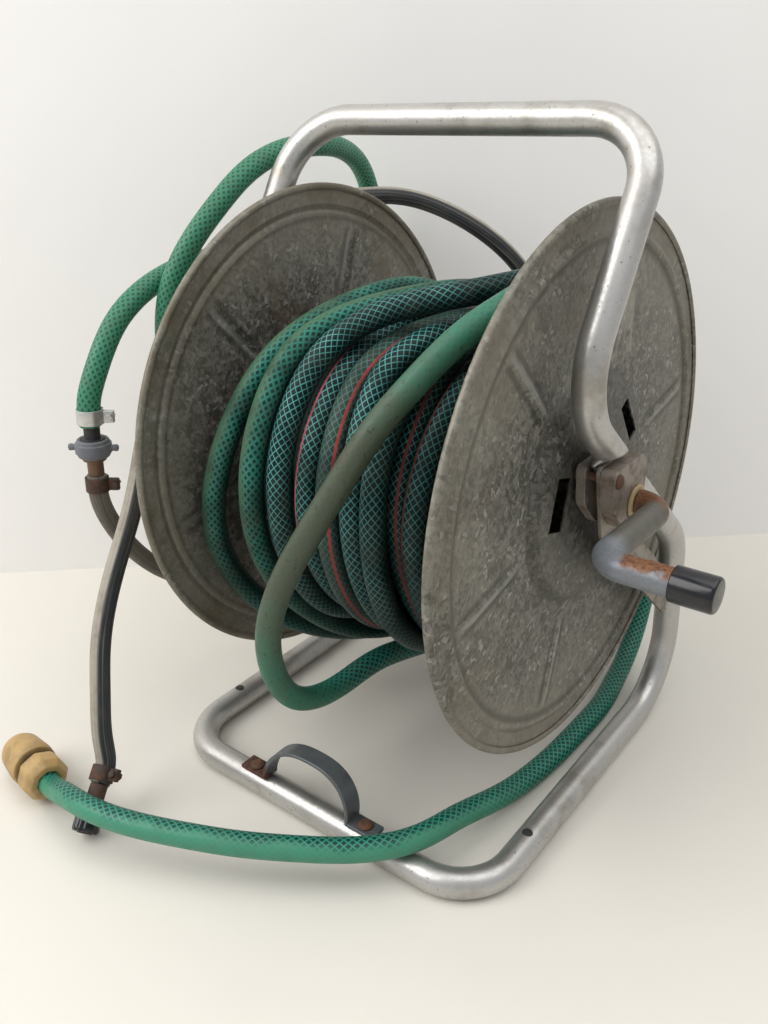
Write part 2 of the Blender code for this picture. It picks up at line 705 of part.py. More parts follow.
def build_flange(side, label):
    place = (side * FLANGE_HALF_SPACING, 0, 0)
    flange = turned("flange_" + label, flange_outline(), place, (side, 0, 0), sides=36, ring=True)
    add_part(flange, GALVANISED, axis)
    for i in range(RIB_COUNT):
        angle = 360 / RIB_COUNT * i + 12
        ends = [polar(RIB_INNER, angle), polar((RIB_INNER + RIB_OUTER) / 2, angle), polar(RIB_OUTER, angle)]
        rib = tube(f"rib_{label}_{i}", ends, RIB_RADIUS, GALVANISED, resolution=1, parent=axis)
        rib.data.splines[0].points[0].radius = 0.5
        rib.data.splines[0].points[2].radius = 0.5
        rib.location = (side * (FLANGE_FACE - RIB_RADIUS * 0.35), 0, 0)
        rib = as_mesh(rib)
        inner_cut = box(f"rib_trim_{label}_{i}", (20 * MM, 0.5, 0.5), (side * (FLANGE_HALF_SPACING - 10 * MM), 0, 0))
        boolean(rib, add_cutter(inner_cut, axis))
        boolean(flange, add_cutter(rib, axis), "UNION")
    for i, angle in enumerate(SLOT_ANGLES):
        mirrored = angle
        y_z = polar(SLOT_RADIUS if i == 0 else SLOT_RADIUS + 20 * MM, mirrored)
        size = (40 * MM, SLOT_WIDTH, SLOT_HEIGHT)
        tilt = (math.radians(-20 if i == 0 else 33), 0, 0)
        if i:
            size = (40 * MM, SLOT_WIDTH * 0.6, SLOT_HEIGHT)
        slot = box(f"slot_{label}_{i}", size, (place[0], y_z[1], y_z[2]), tilt)
        boolean(flange, add_cutter(slot, axis))


def build_drum():
    length = FLANGE_HALF_SPACING - SHEET_THICKNESS / 2 - SEAT_GAP
    outline = [
        (length, DRUM_RADIUS),
        (-length, DRUM_RADIUS),
        (-length, DRUM_RADIUS - DRUM_WALL),
        (length, DRUM_RADIUS - DRUM_WALL),
    ]
    drum = turned("drum_barrel", outline, (0, 0, 0), (1, 0, 0), sides=30, ring=True)
    add_part(drum, GALVANISED, axis)
    half = CORE_WIDTH / 2 * FLANGE_HALF_SPACING / ROUTE_HALF_SPACING
    outer = CORE_RADIUS
    inner = DRUM_RADIUS + 2.2 * SEAT_GAP
    ease = 2 * MM
    outline = [
        (half, inner),
        (half, outer - ease),
        (half - ease, outer),
        (-half + ease, outer),
        (-half, outer - ease),
        (-half, inner),
    ]
    core = turned("hose_core", outline, (0, 0, 0), (1, 0, 0), sides=30, ring=True)
    add_part(core, GREEN, axis)


def build_axle():
    outline = [
        (AXLE_END, 0),
        (AXLE_END, AXLE_RADIUS),
        (-AXLE_END, AXLE_RADIUS),
        (-AXLE_END, 0),
    ]
    axle = turned("axle", outline, (0, 0, 0), (1, 0, 0), sides=24)
    add_part(axle, STEEL, axis)
    for side, label in ((1, "right"), (-1, "left")):
        seat = FLANGE_HALF_SPACING + DISH_DEPTH + SHEET_THICKNESS / 2 + SEAT_GAP
        end = BACK_CASTING_INNER - SEAT_GAP
        bore = AXLE_RADIUS + SEAT_GAP
        outline = [(end, bore), (end, HUB_RING_RADIUS * 0.8), (seat, HUB_RING_RADIUS), (seat, bore)]
        ring = turned("hub_collar_" + label, outline, (0, 0, 0), (side, 0, 0), sides=24, ring=True)
        add_part(ring, STEEL, axis)


def build_crank():
    angle = math.radians(180 - CRANK_REST_ANGLE)
    reach = CRANK_ARM_LENGTH
    corners = [
        (AXLE_END + SEAT_GAP, 0, 0),
        (CRANK_ARM_OFFSET, 0, 0),
        (CRANK_ARM_OFFSET, reach * math.cos(angle), reach * math.sin(angle)),
        (CRANK_END, reach * math.cos(angle), reach * math.sin(angle)),
    ]
    path = rounded_path(corners, [CRANK_ELBOW_RADIUS, CRANK_ELBOW_RADIUS], math.radians(18))
    tube("crank", path, CRANK_TUBE_DIAMETER / 2, PAINTED, resolution=4, parent=axis)
    bore = CRANK_TUBE_DIAMETER / 2 + SEAT_GAP
    outline = [
        (CAP_OUTER, 0),
        (CAP_OUTER, CAP_DIAMETER / 2 - 2 * MM),
        (CAP_OUTER - 2 * MM, CAP_DIAMETER / 2),
        (CAP_OUTER - CAP_LENGTH, CAP_DIAMETER / 2),
        (CAP_OUTER - CAP_LENGTH, bore),
        (CRANK_END + SEAT_GAP, bore),
        (CRANK_END + SEAT_GAP, 0),
    ]
    place = (0, reach * math.cos(angle), reach * math.sin(angle))
    cap = turned("grip_cap", outline, place, (1, 0, 0), sides=24)
    add_part(cap, BLACK, axis)


def squared(points, end, direction, reach):
    """Makes the route end at a point with a straight stretch whose face looks along the direction."""
    out = np.array(Vector(direction).normalized())
    tip = np.array(end, float)
    kept = list(points)
    while np.linalg.norm(tip - kept[-1]) < 1.8 * reach:
        kept.pop()
    return kept + [tip - out * reach, tip]


def hose(name, route, diameter, finish, first=None, last=None, parent=root):
    """A free hose. first and last are (point, outward direction) pairs for ends that meet a fitting squarely."""
    points = list(smooth_route(route, ROUTE_SPACING * diameter))
    if last:
        points = squared(points, *last, diameter)
    if first:
        points = squared(points[::-1], *first, diameter)[::-1]
    tube(name, points, diameter / 2, finish, resolution=2, parent=parent)
    return [Vector(point) for point in points]


# The wound hose: one row a turn, each station as angle, place along the axle and radius in millimetres
WINDING_TABLE = [
    ((0, 107.5, 150), (25, 108, 144), (100, 109, 119), (170, 105, 125), (240, 104, 131),
     (330, 98, 126)),
    ((100, 98, 116), (170, 88, 125), (240, 87, 131), (330, 83, 125)),
    ((100, 84, 116), (170, 70, 127), (240, 74, 133), (330, 66, 125)),
    ((100, 66, 116), (130, 60, 124), (170, 51, 128), (240, 56, 137), (330, 50, 126)),
    ((100, 103, 133), (130, 62, 138), (170, 43, 138), (240, 38, 140), (330, 30, 127)),
    ((100, 46, 117), (130, 26, 136), (170, 24, 141), (240, 24, 141), (330, 14, 126)),
    ((100, 22, 117), (130, 8, 132), (170, 8, 142), (240, 12, 141), (330, -4, 126)),
    ((100, -6, 119), (130, -14, 130), (170, -20, 138), (240, -24, 138), (330, -34, 127)),
    ((100, -44, 130), (130, -68, 140), (170, -98, 148), (205, -109, 160), (240, -76, 171),
     (270, -32, 169), (300, 2, 166), (330, 20, 163)),
    ((60, 40, 126), (100, 8, 131), (115, -14, 138), (130, -38, 150), (170, -56, 157),
     (240, -46, 153), (330, 60, 146)),
    ((60, 88, 142), (100, 66, 147), (115, 22, 150), (130, -20, 150), (170, -38, 149),
     (240, -34, 146), (330, -34, 146)),
]


def across(place):
    """A place along the axle in millimetres, for the flange spacing in use."""
    return place * MM * FLANGE_HALF_SPACING / ROUTE_HALF_SPACING


def winding_points():
    """The winding as its table lays it, from the crank side on."""
    stations = [(360 * turn + angle, place, radius)
                for turn, row in enumerate(WINDING_TABLE) for angle, place, radius in row]
    stretch = 2.6
    stations = np.array(stations, float) * (stretch, 1, 1)
    path = smooth_route(stations, 3)
    degrees = np.arange(0, stations[-1, 0] / stretch + 0.001, 360 / TURN_POINTS)
    place = np.interp(degrees * stretch, path[:, 0], path[:, 1])
    radius = np.interp(degrees * stretch, path[:, 0], path[:, 2]) * MM
    angle = np.radians(degrees)
    return np.stack([across(place), radius * np.cos(angle), radius * np.sin(angle)], axis=1)


def filled(points, parts):
    """The same path with every stretch divided into parts."""
    share = (np.arange(parts) / parts)[None, :, None]
    inner = points[:-1, None] * (1 - share) + points[1:, None] * share
    return np.concatenate([inner.reshape(-1, 3), points[-1:]])


def settled(points, fixed):
    """Pushes the turns apart, and away from the loose turn, until hoses that press on each other just clear."""
    parts = 3
    need = HOSE_DIAMETER + TURN_GAP
    share = (np.arange(parts) / parts)[None, :, None]
    lap = parts * TURN_POINTS
    edge = FLANGE_HALF_SPACING - SHEET_THICKNESS / 2 - HOSE_RADIUS - TURN_GAP
    points = points.copy()
    for _ in range(SETTLE_STEPS):
        path = filled(points, parts)
        count = len(path)
        push = np.zeros_like(path)
        for offset in range(lap - 2, count):
            if (offset + 2) % lap > 4:
                continue
            apart = path[offset:] - path[:-offset]
            distance = np.linalg.norm(apart, axis=1)
            move = apart * (np.clip(need - distance, 0, None) / 2 / np.maximum(distance, 1e-6))[:, None]
            push[offset:] += move
            push[:-offset] -= move
        apart = path[:, None] - fixed[None]
        distance = np.linalg.norm(apart, axis=2)
        nearest = distance.argmin(axis=1)
        row = np.arange(count)
        distance = distance[row, nearest]
        share_of = np.clip(need - distance, 0, None) / np.maximum(distance, 1e-6) * (row > 2 * parts)
        push += apart[row, nearest] * share_of[:, None]
        back = np.zeros_like(points)
        body = push[:-1].reshape(len(points) - 1, parts, 3)
        back[:-1] += (body * (1 - share)).sum(axis=1)
        back[1:] += (body * share).sum(axis=1)
        soft = back.copy()
        soft[1:-1] = 0.25 * back[:-2] + 0.5 * back[1:-1] + 0.25 * back[2:]
        soft[:2] = 0
        points += 0.35 * soft
        points[:, 0] = np.clip(points[:, 0], -edge, edge)
    return points


def report_gap(points, radius, other):
    """Prints the least gap of a hose to itself, between points more than a few diameters apart, and to another."""
    centre = filled(np.array(points, float), 6)
    walk = np.concatenate([[0], np.cumsum(np.linalg.norm(np.diff(centre, axis=0), axis=1))])
    apart = np.linalg.norm(centre[:, None] - centre[None], axis=2)
    far = np.abs(walk[:, None] - walk[None]) > 8 * radius
    print(f"least gap of the winding to itself: {(apart[far].min() - 2 * radius) * 1000:.2f} mm")
    past = walk > 6 * radius
    apart = np.linalg.norm(centre[past, None] - other[None], axis=2)
    print(f"least gap of the winding to the loose turn: {(apart.min() - 2 * radius) * 1000:.2f} mm")


# The lower end of the loose turn and the upper end of the outlet hose meet at this radius, so that the turning end
# slides past the other. The hoses run through the joint at 45 degrees to it, upwards and inwards.
JOINT_PLACE = polar(JOINT_RADIUS, JOINT_ANGLE, across(107))
JOINT_LINE = polar(1, JOINT_ANGLE + 135)
JOINT_OVERRUN = 13 * MM
LOOSE_TURN_TABLE = [
    polar(182.5, 13, 107),
    polar(170, 24, 107),
    polar(166, 40, 107),
    polar(166, 60, 108),
    polar(165, 82, 111),
    polar(164, 100, 112.5),
    polar(165, 112, 109),
    polar(167, 122.5, 101.5),
    (87.5, -106, 131),
    (78, -122, 115.5),
    (67, -140, 97),
    (52, -158, 70),
    (38, -172, 40),
    (23, -187, 7),
    (8, -196, -25),
    (-4, -201, -59),
    (-12, -196, -99),
    (-14, -179, -139),
    (-12, -138, -159),
    (-9, -100, -158),
    (-6, -60, -163),
    (2, -20, -170),
    (20, 22, -171),
    (48, 60, -160.5),
    (78, 90, -147),
    (98, 113, -129),
    (107.5, 131, -109),
    (108.5, 142.5, -82),
    (108.5, 149, -45.6),
    (107.5, 149.9, -8),
]
LOOSE_TURN_ROUTE = [(across(x), y * MM, z * MM) for x, y, z in LOOSE_TURN_TABLE]


def cut_joint(obj, side, parent):
    """Trims a hose's overlong end to the joint's radius. side is 1 for the hose inside that radius."""
    reach = 60 * MM
    edge = JOINT_RADIUS - side * SEAT_GAP / 2
    height = AXLE_HEIGHT if parent is root else 0
    sides = 96
    if side > 0:
        outline = [(reach / 2, edge), (reach / 2, edge + reach), (-reach / 2, edge + reach), (-reach / 2, edge)]
        cut = turned(obj.name + "_cut", outline, (JOINT_PLACE[0], 0, height), (1, 0, 0), sides=sides, ring=True)
    else:
        edge /= math.cos(math.pi / sides)
        cut = cylinder(obj.name + "_cut", edge, reach, (JOINT_PLACE[0], 0, height), (1, 0, 0), sides=sides)
    boolean(as_mesh(obj), add_cutter(cut, parent))


def build_winding():
    points = winding_points()
    joint_line = Vector(JOINT_LINE)
    first = (Vector(JOINT_PLACE) - joint_line * JOINT_OVERRUN, -joint_line)
    start_line = (Vector(points[1]) - Vector(points[0])).normalized()
    last = (Vector(points[0]) - start_line * SEAT_GAP, start_line)
    loose = hose("loose_turn", LOOSE_TURN_ROUTE, HOSE_DIAMETER, GREEN, first, last, axis)
    cut_joint(bpy.data.objects["loose_turn"], 1, axis)
    loose = filled(np.array(loose), 6)
    points = settled(points, loose)
    report_gap(points, HOSE_RADIUS, loose)
    radii = np.hypot(points[:, 1], points[:, 2]) * 1000
    print(f"winding radii: {radii.min():.1f} to {radii.max():.1f} mm")
    tube("hose_winding", points, HOSE_RADIUS, GREEN, resolution=1, parent=axis)


# Free hoses and what is on them. A fitting lies along the hose's last stretch.
OUTLET_ROUTE = [
    (JOINT_PLACE[0], JOINT_PLACE[1], JOINT_PLACE[2] + AXLE_HEIGHT),
    (JOINT_PLACE[0], 0.1957, AXLE_HEIGHT + 0.0103),
    (JOINT_PLACE[0], 0.2004, AXLE_HEIGHT - 0.0211),
    (JOINT_PLACE[0], 0.202, 0.205),
    (JOINT_PLACE[0], 0.2045, 0.160),
    (0.107, 0.206, 0.115),
    (0.107, 0.203, 0.080),
    (0.108, 0.192, 0.050),
    (0.111, 0.170, 0.027),
    (0.115, 0.138, 0.014),
    (0.120, 0.105, 0.0100),
    (0.124, 0.072, 0.0097),
    (0.124, 0.035, 0.0097),
    (0.123, -0.001, 0.0097),
    (0.120, -0.035, 0.0100),
    (0.117, -0.065, 0.0127),
    (0.112, -0.100, 0.0197),
    (0.104, -0.140, 0.028),
    (0.094, -0.178, 0.0328),
    (0.066, -0.211, 0.0345),
    (0.037, -0.232, 0.0355),
    (0.006, -0.252, 0.037),
    (-0.026, -0.269, 0.0385),
    (-0.061, -0.2845, 0.0395),
    (-0.100, -0.2965, 0.0390),
    (-0.128, -0.2995, 0.0375),
    (-0.146, -0.2985, 0.0340),
    (-0.168, -0.2945, 0.0265),
    (-0.198, -0.2893, 0.0203),
]
OUTLET_END = ((-0.198, -0.2893, 0.0203), (-0.985, 0.16, -0.02))
LEADER_UPPER_ROUTE = [
    (-0.202, 0.180, 0.296),
    (-0.203, 0.183, 0.340),
    (-0.203, 0.182, 0.385),
    (-0.202, 0.174, 0.420),
    (-0.197, 0.155, 0.452),
    (-0.189, 0.122, 0.472),
    (-0.180, 0.085, 0.480),
    (-0.177, 0.045, 0.481),
    (-0.180, 0.003, 0.474),
    (-0.183, -0.033, 0.453),
    (-0.189, -0.064, 0.428),
    (-0.196, -0.082, 0.402),
    (-0.203, -0.092, 0.378),
    (-0.209, -0.097, 0.330),
    (-0.214, -0.084, 0.262),
    (-0.219, -0.037, 0.212),
    (-0.223, 0.020, 0.211),
    (-0.227, 0.066, 0.250),
    (-0.229, 0.080, 0.305),
    (-0.231, 0.057, 0.360),
    (-0.230, 0.012, 0.388),
    (-0.228, -0.036, 0.394),
    (-0.224, -0.080, 0.388),
    (-0.220, -0.120, 0.374),
    (-0.218, -0.151, 0.347),
    (-0.218, -0.168, 0.316),
    (-0.219, -0.174, 0.288),
]
INLET_PLACE = -(AXLE_END + SEAT_GAP + 15 * MM)
LEADER_INLET_ROUTE = [
    (-0.220, -0.1765, 0.246),
    (-0.220, -0.175, 0.213),
    (-0.219, -0.157, 0.172),
    (-0.214, -0.125, 0.133),
    (-0.205, -0.085, 0.114),
    (INLET_PLACE - 0.0105, -0.042, 0.119),
    (INLET_PLACE - 0.0025, -0.011, 0.148),
    (INLET_PLACE, 0.000, 0.180),
    (INLET_PLACE, 0.000, 0.208),
]
LEADER_TAP_ROUTE = [
    (-0.141, -0.274, 0.0315),
    (-0.148, -0.262, 0.052),
    (-0.153, -0.252, 0.092),
    (-0.168, -0.225, 0.155),
    (-0.184, -0.168, 0.232),
    (-0.189, -0.146, 0.275),
    (-0.187, -0.115, 0.326),
    (-0.181, -0.073, 0.372),
    (-0.1765, -0.018, 0.402),
    (-0.178, 0.045, 0.420),
    (-0.183, 0.090, 0.430),
    (-0.181, 0.128, 0.432),
    (-0.167, 0.160, 0.430),
    (-0.143, 0.182, 0.423),
    (-0.111, 0.198, 0.407),
    (-0.085, 0.212, 0.388),
    (-0.061, 0.230, 0.357),
    (-0.045, 0.246, 0.315),
    (-0.042, 0.258, 0.265),
    (-0.055, 0.264, 0.210),
    (-0.095, 0.262, 0.160),
    (-0.145, 0.247, 0.146),
    (-0.182, 0.213, 0.165),
    (-0.200, 0.187, 0.200),
    (-0.202, 0.180, 0.240),
]
TAP_END = (LEADER_TAP_ROUTE[0], (0.30, -0.72, -0.62))
UNION_LINE = Vector(LEADER_UPPER_ROUTE[-1]) - Vector(LEADER_INLET_ROUTE[0])
UP = Vector((0, 0, 1))


def end_of(points, first):
    """The end point of a hose and the direction that leaves it there."""
    if first:
        return points[0], (points[0] - points[1]).normalized()
    return points[-1], (points[-1] - points[-2]).normalized()


def hose_clamp(name, end, back, hose_radius, finish, lug_direction):
    """A band round a hose near its end, with a lug that its bolt goes through."""
    point, out = end
    place = point - out * back
    inner = hose_radius + 1.3 * SEAT_GAP
    outer = inner + CLAMP_THICKNESS
    half = CLAMP_WIDTH / 2
    outline = [(half, inner), (half, outer), (-half, outer), (-half, inner)]
    band = turned(name, outline, place, out, sides=16, ring=True)
    add_part(band, finish)
    side = Vector(lug_direction)
    side = (side - out * side.dot(out)).normalized()
    lug_place = place + side * (outer + CLAMP_LUG / 2 - 0.5 * MM)
    across = out.cross(side)
    lug = box(name + "_lug", (CLAMP_LUG, 5 * MM, CLAMP_WIDTH * 0.8), lug_place)
    lug.rotation_euler = Matrix((side, across, out)).transposed().to_euler()
    boolean(band, add_cutter(lug), "UNION")
    bolt_place = place + side * (outer + CLAMP_LUG * 0.58)
    bolt_name = name + "_bolt"
    hole = cylinder(bolt_name + "_hole", CLAMP_BOLT_RADIUS * 0.6 + 1.3 * SEAT_GAP, 20 * MM, bolt_place, across, sides=10)
    boolean(band, add_cutter(hole))
    shank = 2.5 * MM + SEAT_GAP
    radius = CLAMP_BOLT_RADIUS
    outline = [
        (shank + 2.6 * MM, 0),
        (shank + 2.6 * MM, radius),
        (shank, radius),
        (shank, radius * 0.6),
        (-shank, radius * 0.6),
        (-shank, radius),
        (-shank - 1.8 * MM, radius),
        (-shank - 1.8 * MM, 0),
    ]
    bolt = turned(bolt_name, outline, bolt_place, across, sides=8)
    add_part(bolt, finish)


def build_outlet():
    joint_line = Vector(JOINT_LINE)
    top = Vector(JOINT_PLACE) + UP * AXLE_HEIGHT + joint_line * JOINT_OVERRUN
    points = hose("outlet_hose", OUTLET_ROUTE, HOSE_DIAMETER, GREEN, (top, joint_line), OUTLET_END)
    cut_joint(bpy.data.objects["outlet_hose"], -1, root)
    point, out = end_of(points, False)
    grip = CONNECTOR_RADIUS
    bore = CONNECTOR_BORE_RADIUS
    mouth = HOSE_RADIUS + SEAT_GAP
    overlap = 10 * MM
    base = point - out * overlap
    nut_end = CONNECTOR_NUT_LENGTH
    outline = [
        (nut_end, bore + SEAT_GAP),
        (nut_end, grip - 1 * MM),
        (nut_end - 5 * MM, grip),
        (6 * MM, grip),
        (0, grip - 4 * MM),
        (0, mouth),
        (overlap - SEAT_GAP, mouth),
        (overlap + 2 * MM, bore + SEAT_GAP),
    ]
    nut = turned("connector_nut", outline, base, out, sides=24, ring=True)
    add_part(nut, TAN)
    gap_end = nut_end + CONNECTOR_GAP
    sleeve_end = gap_end + CONNECTOR_SLEEVE_LENGTH
    outline = [
        (sleeve_end - 3 * MM, bore - 5 * MM),
        (sleeve_end - 3 * MM, bore),
        (overlap + 2.6 * MM + SEAT_GAP, bore),
        (overlap + 2.6 * MM + SEAT_GAP, bore - 5 * MM),
    ]
    body = turned("connector_body", outline, base, out, sides=24, ring=True)
    add_part(body, BLACK)
    outline = [
        (nut_end + 2.2 * MM, bore + SEAT_GAP),
        (nut_end + 2.2 * MM, grip - 3 * MM),
        (nut_end + SEAT_GAP, grip - 3 * MM),
        (nut_end + SEAT_GAP, bore + SEAT_GAP),
    ]
    ring = turned("connector_ring", outline, base, out, sides=24, ring=True)
    add_part(ring, BLACK)
    outline = [
        (sleeve_end, bore + SEAT_GAP),
        (sleeve_end, grip - 5 * MM),
        (sleeve_end - 6 * MM, grip - 2 * MM),
        (gap_end + 8 * MM, grip),
        (gap_end, grip - 0.5 * MM),
        (gap_end, bore + SEAT_GAP),
    ]
    sleeve = turned("connector_sleeve", outline, base, out, sides=24, ring=True)
    add_part(sleeve, TAN)
    print("connector axis", [round(value, 4) for value in out])


def build_tap_end(points):
    end = end_of(points, True)
    hose_clamp("tap_clamp", end, 8 * MM, LEADER_RADIUS, RUSTY, (1, 0.2, 0.3))
    point, out = end
    radius = LEADER_RADIUS - 1 * MM
    outline = [
        (24 * MM + TAP_NUT_LENGTH, SPIGOT_RADIUS - 2 * MM),
        (24 * MM + TAP_NUT_LENGTH, radius - 1 * MM),
        (23 * MM, radius - 1 * MM),
        (23 * MM, radius + 1.2 * MM),
        (20 * MM, radius + 1.2 * MM),
        (20 * MM, radius),
        (SEAT_GAP, radius),
        (SEAT_GAP, SPIGOT_RADIUS - 2 * MM),
    ]
    tail = turned("tap_tail", outline, point, out, sides=20, ring=True)
    add_part(tail, RUSTY)
    base = 23 * MM + SEAT_GAP
    clear = radius - 1 * MM + 2 * SEAT_GAP
    outline = [
        (base + TAP_NUT_LENGTH, clear),
        (base + TAP_NUT_LENGTH, TAP_NUT_RADIUS - 1 * MM),
        (base + TAP_NUT_LENGTH - 2 * MM, TAP_NUT_RADIUS),
        (base + 1 * MM, TAP_NUT_RADIUS),
        (base, TAP_NUT_RADIUS - 1 * MM),
        (base, clear),
    ]
    nut = turned("tap_nut", outline, point, out, sides=12, ring=True)
    add_part(nut, BLACK)


def build_union(upper_points, lower_points):
    """A screwed union between the two leader hoses: two tails and a nut with two wings."""
    top, down = end_of(upper_points, False)
    bottom, up = end_of(lower_points, True)
    line = (top - bottom).normalized()
    span = (top - bottom).length
    middle = bottom + line * (span * 0.56)
    bore = SPIGOT_RADIUS - 2.5 * MM
    half = UNION_LENGTH / 2
    outline = [
        (span * 0.44 - SEAT_GAP, bore),
        (span * 0.44 - SEAT_GAP, SPIGOT_RADIUS),
        (half + SEAT_GAP, SPIGOT_RADIUS),
        (half + SEAT_GAP, SPIGOT_RADIUS + 3 * MM),
        (half - 4 * MM, SPIGOT_RADIUS + 3 * MM),
        (half - 4 * MM, bore),
    ]
    upper = turned("union_tail_upper", outline, middle, line, sides=20, ring=True)
    add_part(upper, BLACK)
    outline = [
        (half - 4 * MM - SEAT_GAP, bore),
        (half - 4 * MM - SEAT_GAP, SPIGOT_RADIUS + 3 * MM),
        (-half - 3 * MM, SPIGOT_RADIUS + 3 * MM),
        (-half - 3 * MM, SPIGOT_RADIUS),
        (-span * 0.56 + SEAT_GAP, SPIGOT_RADIUS),
        (-span * 0.56 + SEAT_GAP, bore),
    ]
    lower = turned("union_tail_lower", outline, middle, line, sides=20, ring=True)
    add_part(lower, RUSTY)
    inner = SPIGOT_RADIUS + 3 * MM + RUNNING_GAP + 0.15 * MM
    outline = [
        (half, inner),
        (half, UNION_RADIUS - 2 * MM),
        (half - 2.5 * MM, UNION_RADIUS),
        (-half + 2.5 * MM, UNION_RADIUS),
        (-half, UNION_RADIUS - 2 * MM),
        (-half, inner),
    ]
    nut = turned("union_wing_nut", outline, middle, line, sides=24, ring=True)
    add_part(nut, GREY_PLASTIC)
    wing_axis = Vector((0.78, 0.62, 0))
    wing_axis = (wing_axis - line * wing_axis.dot(line)).normalized()
    for i, side in enumerate((-1, 1)):
        reach = UNION_EAR_SPAN / 2 - inner - 1 * MM
        place = middle + wing_axis * side * (inner + 1 * MM + reach / 2)
        wing = cylinder(f"wing_{i}", 3 * MM, reach, place, wing_axis, sides=12)
        boolean(nut, add_cutter(wing), "UNION")
    hose_clamp("union_clamp_upper", (top, down), 8 * MM, HOSE_RADIUS, STEEL, (0.78, 0.62, 0))
    hose_clamp("union_clamp_lower", (bottom, up), 8 * MM, LEADER_RADIUS, RUSTY, (0.78, 0.62, 0))
    print("union axis", [round(value, 4) for value in line], [round(value, 4) for value in middle])


def build_joiner(upper_points, tap_points):
    """The barbed joiner between the green and the dark leader hose, behind the reel."""
    top, down = end_of(upper_points, True)
    bottom, up = end_of(tap_points, False)
    line = (top - bottom).normalized()
    span = (top - bottom).length
    outline = [
        (span - SEAT_GAP, SPIGOT_RADIUS - 2 * MM),
        (span - SEAT_GAP, SPIGOT_RADIUS),
        (span / 2 + 4 * MM, SPIGOT_RADIUS + 1 * MM),
        (span / 2 + 2 * MM, SPIGOT_RADIUS + 4 * MM),
        (span / 2 - 2 * MM, SPIGOT_RADIUS + 4 * MM),
        (span / 2 - 4 * MM, SPIGOT_RADIUS + 1 * MM),
        (SEAT_GAP, SPIGOT_RADIUS),
        (SEAT_GAP, SPIGOT_RADIUS - 2 * MM),
    ]
    joiner = turned("hose_joiner", outline, bottom, line, sides=16, ring=True)
    add_part(joiner, BLACK)


def build_inlet(points):
    """The swivel inlet on the axle's far end, with a tail that points down."""
    start = AXLE_END + SEAT_GAP
    outline = [
        (INLET_END, 0),
        (INLET_END, INLET_RADIUS - 3 * MM),
        (INLET_END - 3 * MM, INLET_RADIUS),
        (start + 3 * MM, INLET_RADIUS),
        (start, INLET_RADIUS - 3 * MM),
        (start, 0),
    ]
    inlet = turned("inlet_swivel", outline, (0, 0, AXLE_HEIGHT), (-1, 0, 0), sides=24)
    add_part(inlet, CAST)
    point, out = end_of(points, False)
    reach = AXLE_HEIGHT - point.z - SEAT_GAP
    middle = (point.x, 0, AXLE_HEIGHT - reach / 2)
    tail = cylinder("inlet_tail", SPIGOT_RADIUS, reach, middle, sides=20)
    boolean(inlet, add_cutter(tail), "UNION")


build_frame()
build_hoop()
for reel_side, reel_label in ((1, "right"), (-1, "left")):
    build_bracket(reel_side, reel_label)
    build_bush(reel_side, reel_label)
    build_flange(reel_side, reel_label)
build_drum()
build_axle()
build_crank()
build_winding()
build_outlet()
upper_ends = (LEADER_UPPER_ROUTE[0], -UP), (LEADER_UPPER_ROUTE[-1], -UNION_LINE)
upper_hose = hose("leader_hose_upper", LEADER_UPPER_ROUTE, HOSE_DIAMETER, GREEN, *upper_ends)
inlet_ends = (LEADER_INLET_ROUTE[0], UNION_LINE), (LEADER_INLET_ROUTE[-1], UP)
inlet_hose = hose("leader_hose_inlet", LEADER_INLET_ROUTE, LEADER_DIAMETER, DARK_RUBBER, *inlet_ends)
tap_ends = TAP_END, (LEADER_TAP_ROUTE[-1], UP)
tap_hose = hose("leader_hose_tap", LEADER_TAP_ROUTE, LEADER_DIAMETER, DARK_RUBBER, *tap_ends)
build_tap_end(tap_hose)
build_union(upper_hose, inlet_hose)
build_joiner(upper_hose, tap_hose)
build_inlet(inlet_hose)
print("origin shift in x", round(ORIGIN_X, 6))
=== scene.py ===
import functools
import json
import math

import bmesh
import bpy
import numpy as np
from mathutils import Matrix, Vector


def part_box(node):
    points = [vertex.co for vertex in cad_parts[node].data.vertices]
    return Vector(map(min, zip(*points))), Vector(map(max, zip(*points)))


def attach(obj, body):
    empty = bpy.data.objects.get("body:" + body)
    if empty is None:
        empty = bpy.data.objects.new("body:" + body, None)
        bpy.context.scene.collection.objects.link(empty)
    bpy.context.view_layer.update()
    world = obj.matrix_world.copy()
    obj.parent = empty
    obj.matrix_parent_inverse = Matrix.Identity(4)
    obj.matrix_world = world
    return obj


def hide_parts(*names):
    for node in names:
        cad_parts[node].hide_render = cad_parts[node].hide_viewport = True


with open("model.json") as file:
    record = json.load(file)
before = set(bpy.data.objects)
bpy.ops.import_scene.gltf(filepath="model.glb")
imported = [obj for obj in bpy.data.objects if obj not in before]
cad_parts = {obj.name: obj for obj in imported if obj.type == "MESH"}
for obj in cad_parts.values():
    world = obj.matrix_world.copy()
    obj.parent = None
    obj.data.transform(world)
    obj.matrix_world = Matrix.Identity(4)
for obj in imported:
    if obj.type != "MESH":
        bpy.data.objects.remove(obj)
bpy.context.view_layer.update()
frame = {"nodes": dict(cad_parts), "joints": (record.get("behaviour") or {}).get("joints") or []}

spin = next(joint for joint in frame["joints"] if joint["name"] == "reel_spin")
# Numbers below are millimetres from the middle of the reel, with the floor at 0
originX = spin["pos_m"][0] * 1000
axleZ = spin["pos_m"][2] * 1000
up = np.array([0, 0, 1.0])


def toFrame(points):
    # Millimetres from the reel's middle to metres in the model's frame
    return (np.array(points, float) + [originX, 0, 0]) / 1000


def unit(vector):
    return np.array(vector, float) / np.linalg.norm(vector)


def addObject(name, data):
    made = bpy.data.objects.new(name, data)
    bpy.context.scene.collection.objects.link(made)
    return made


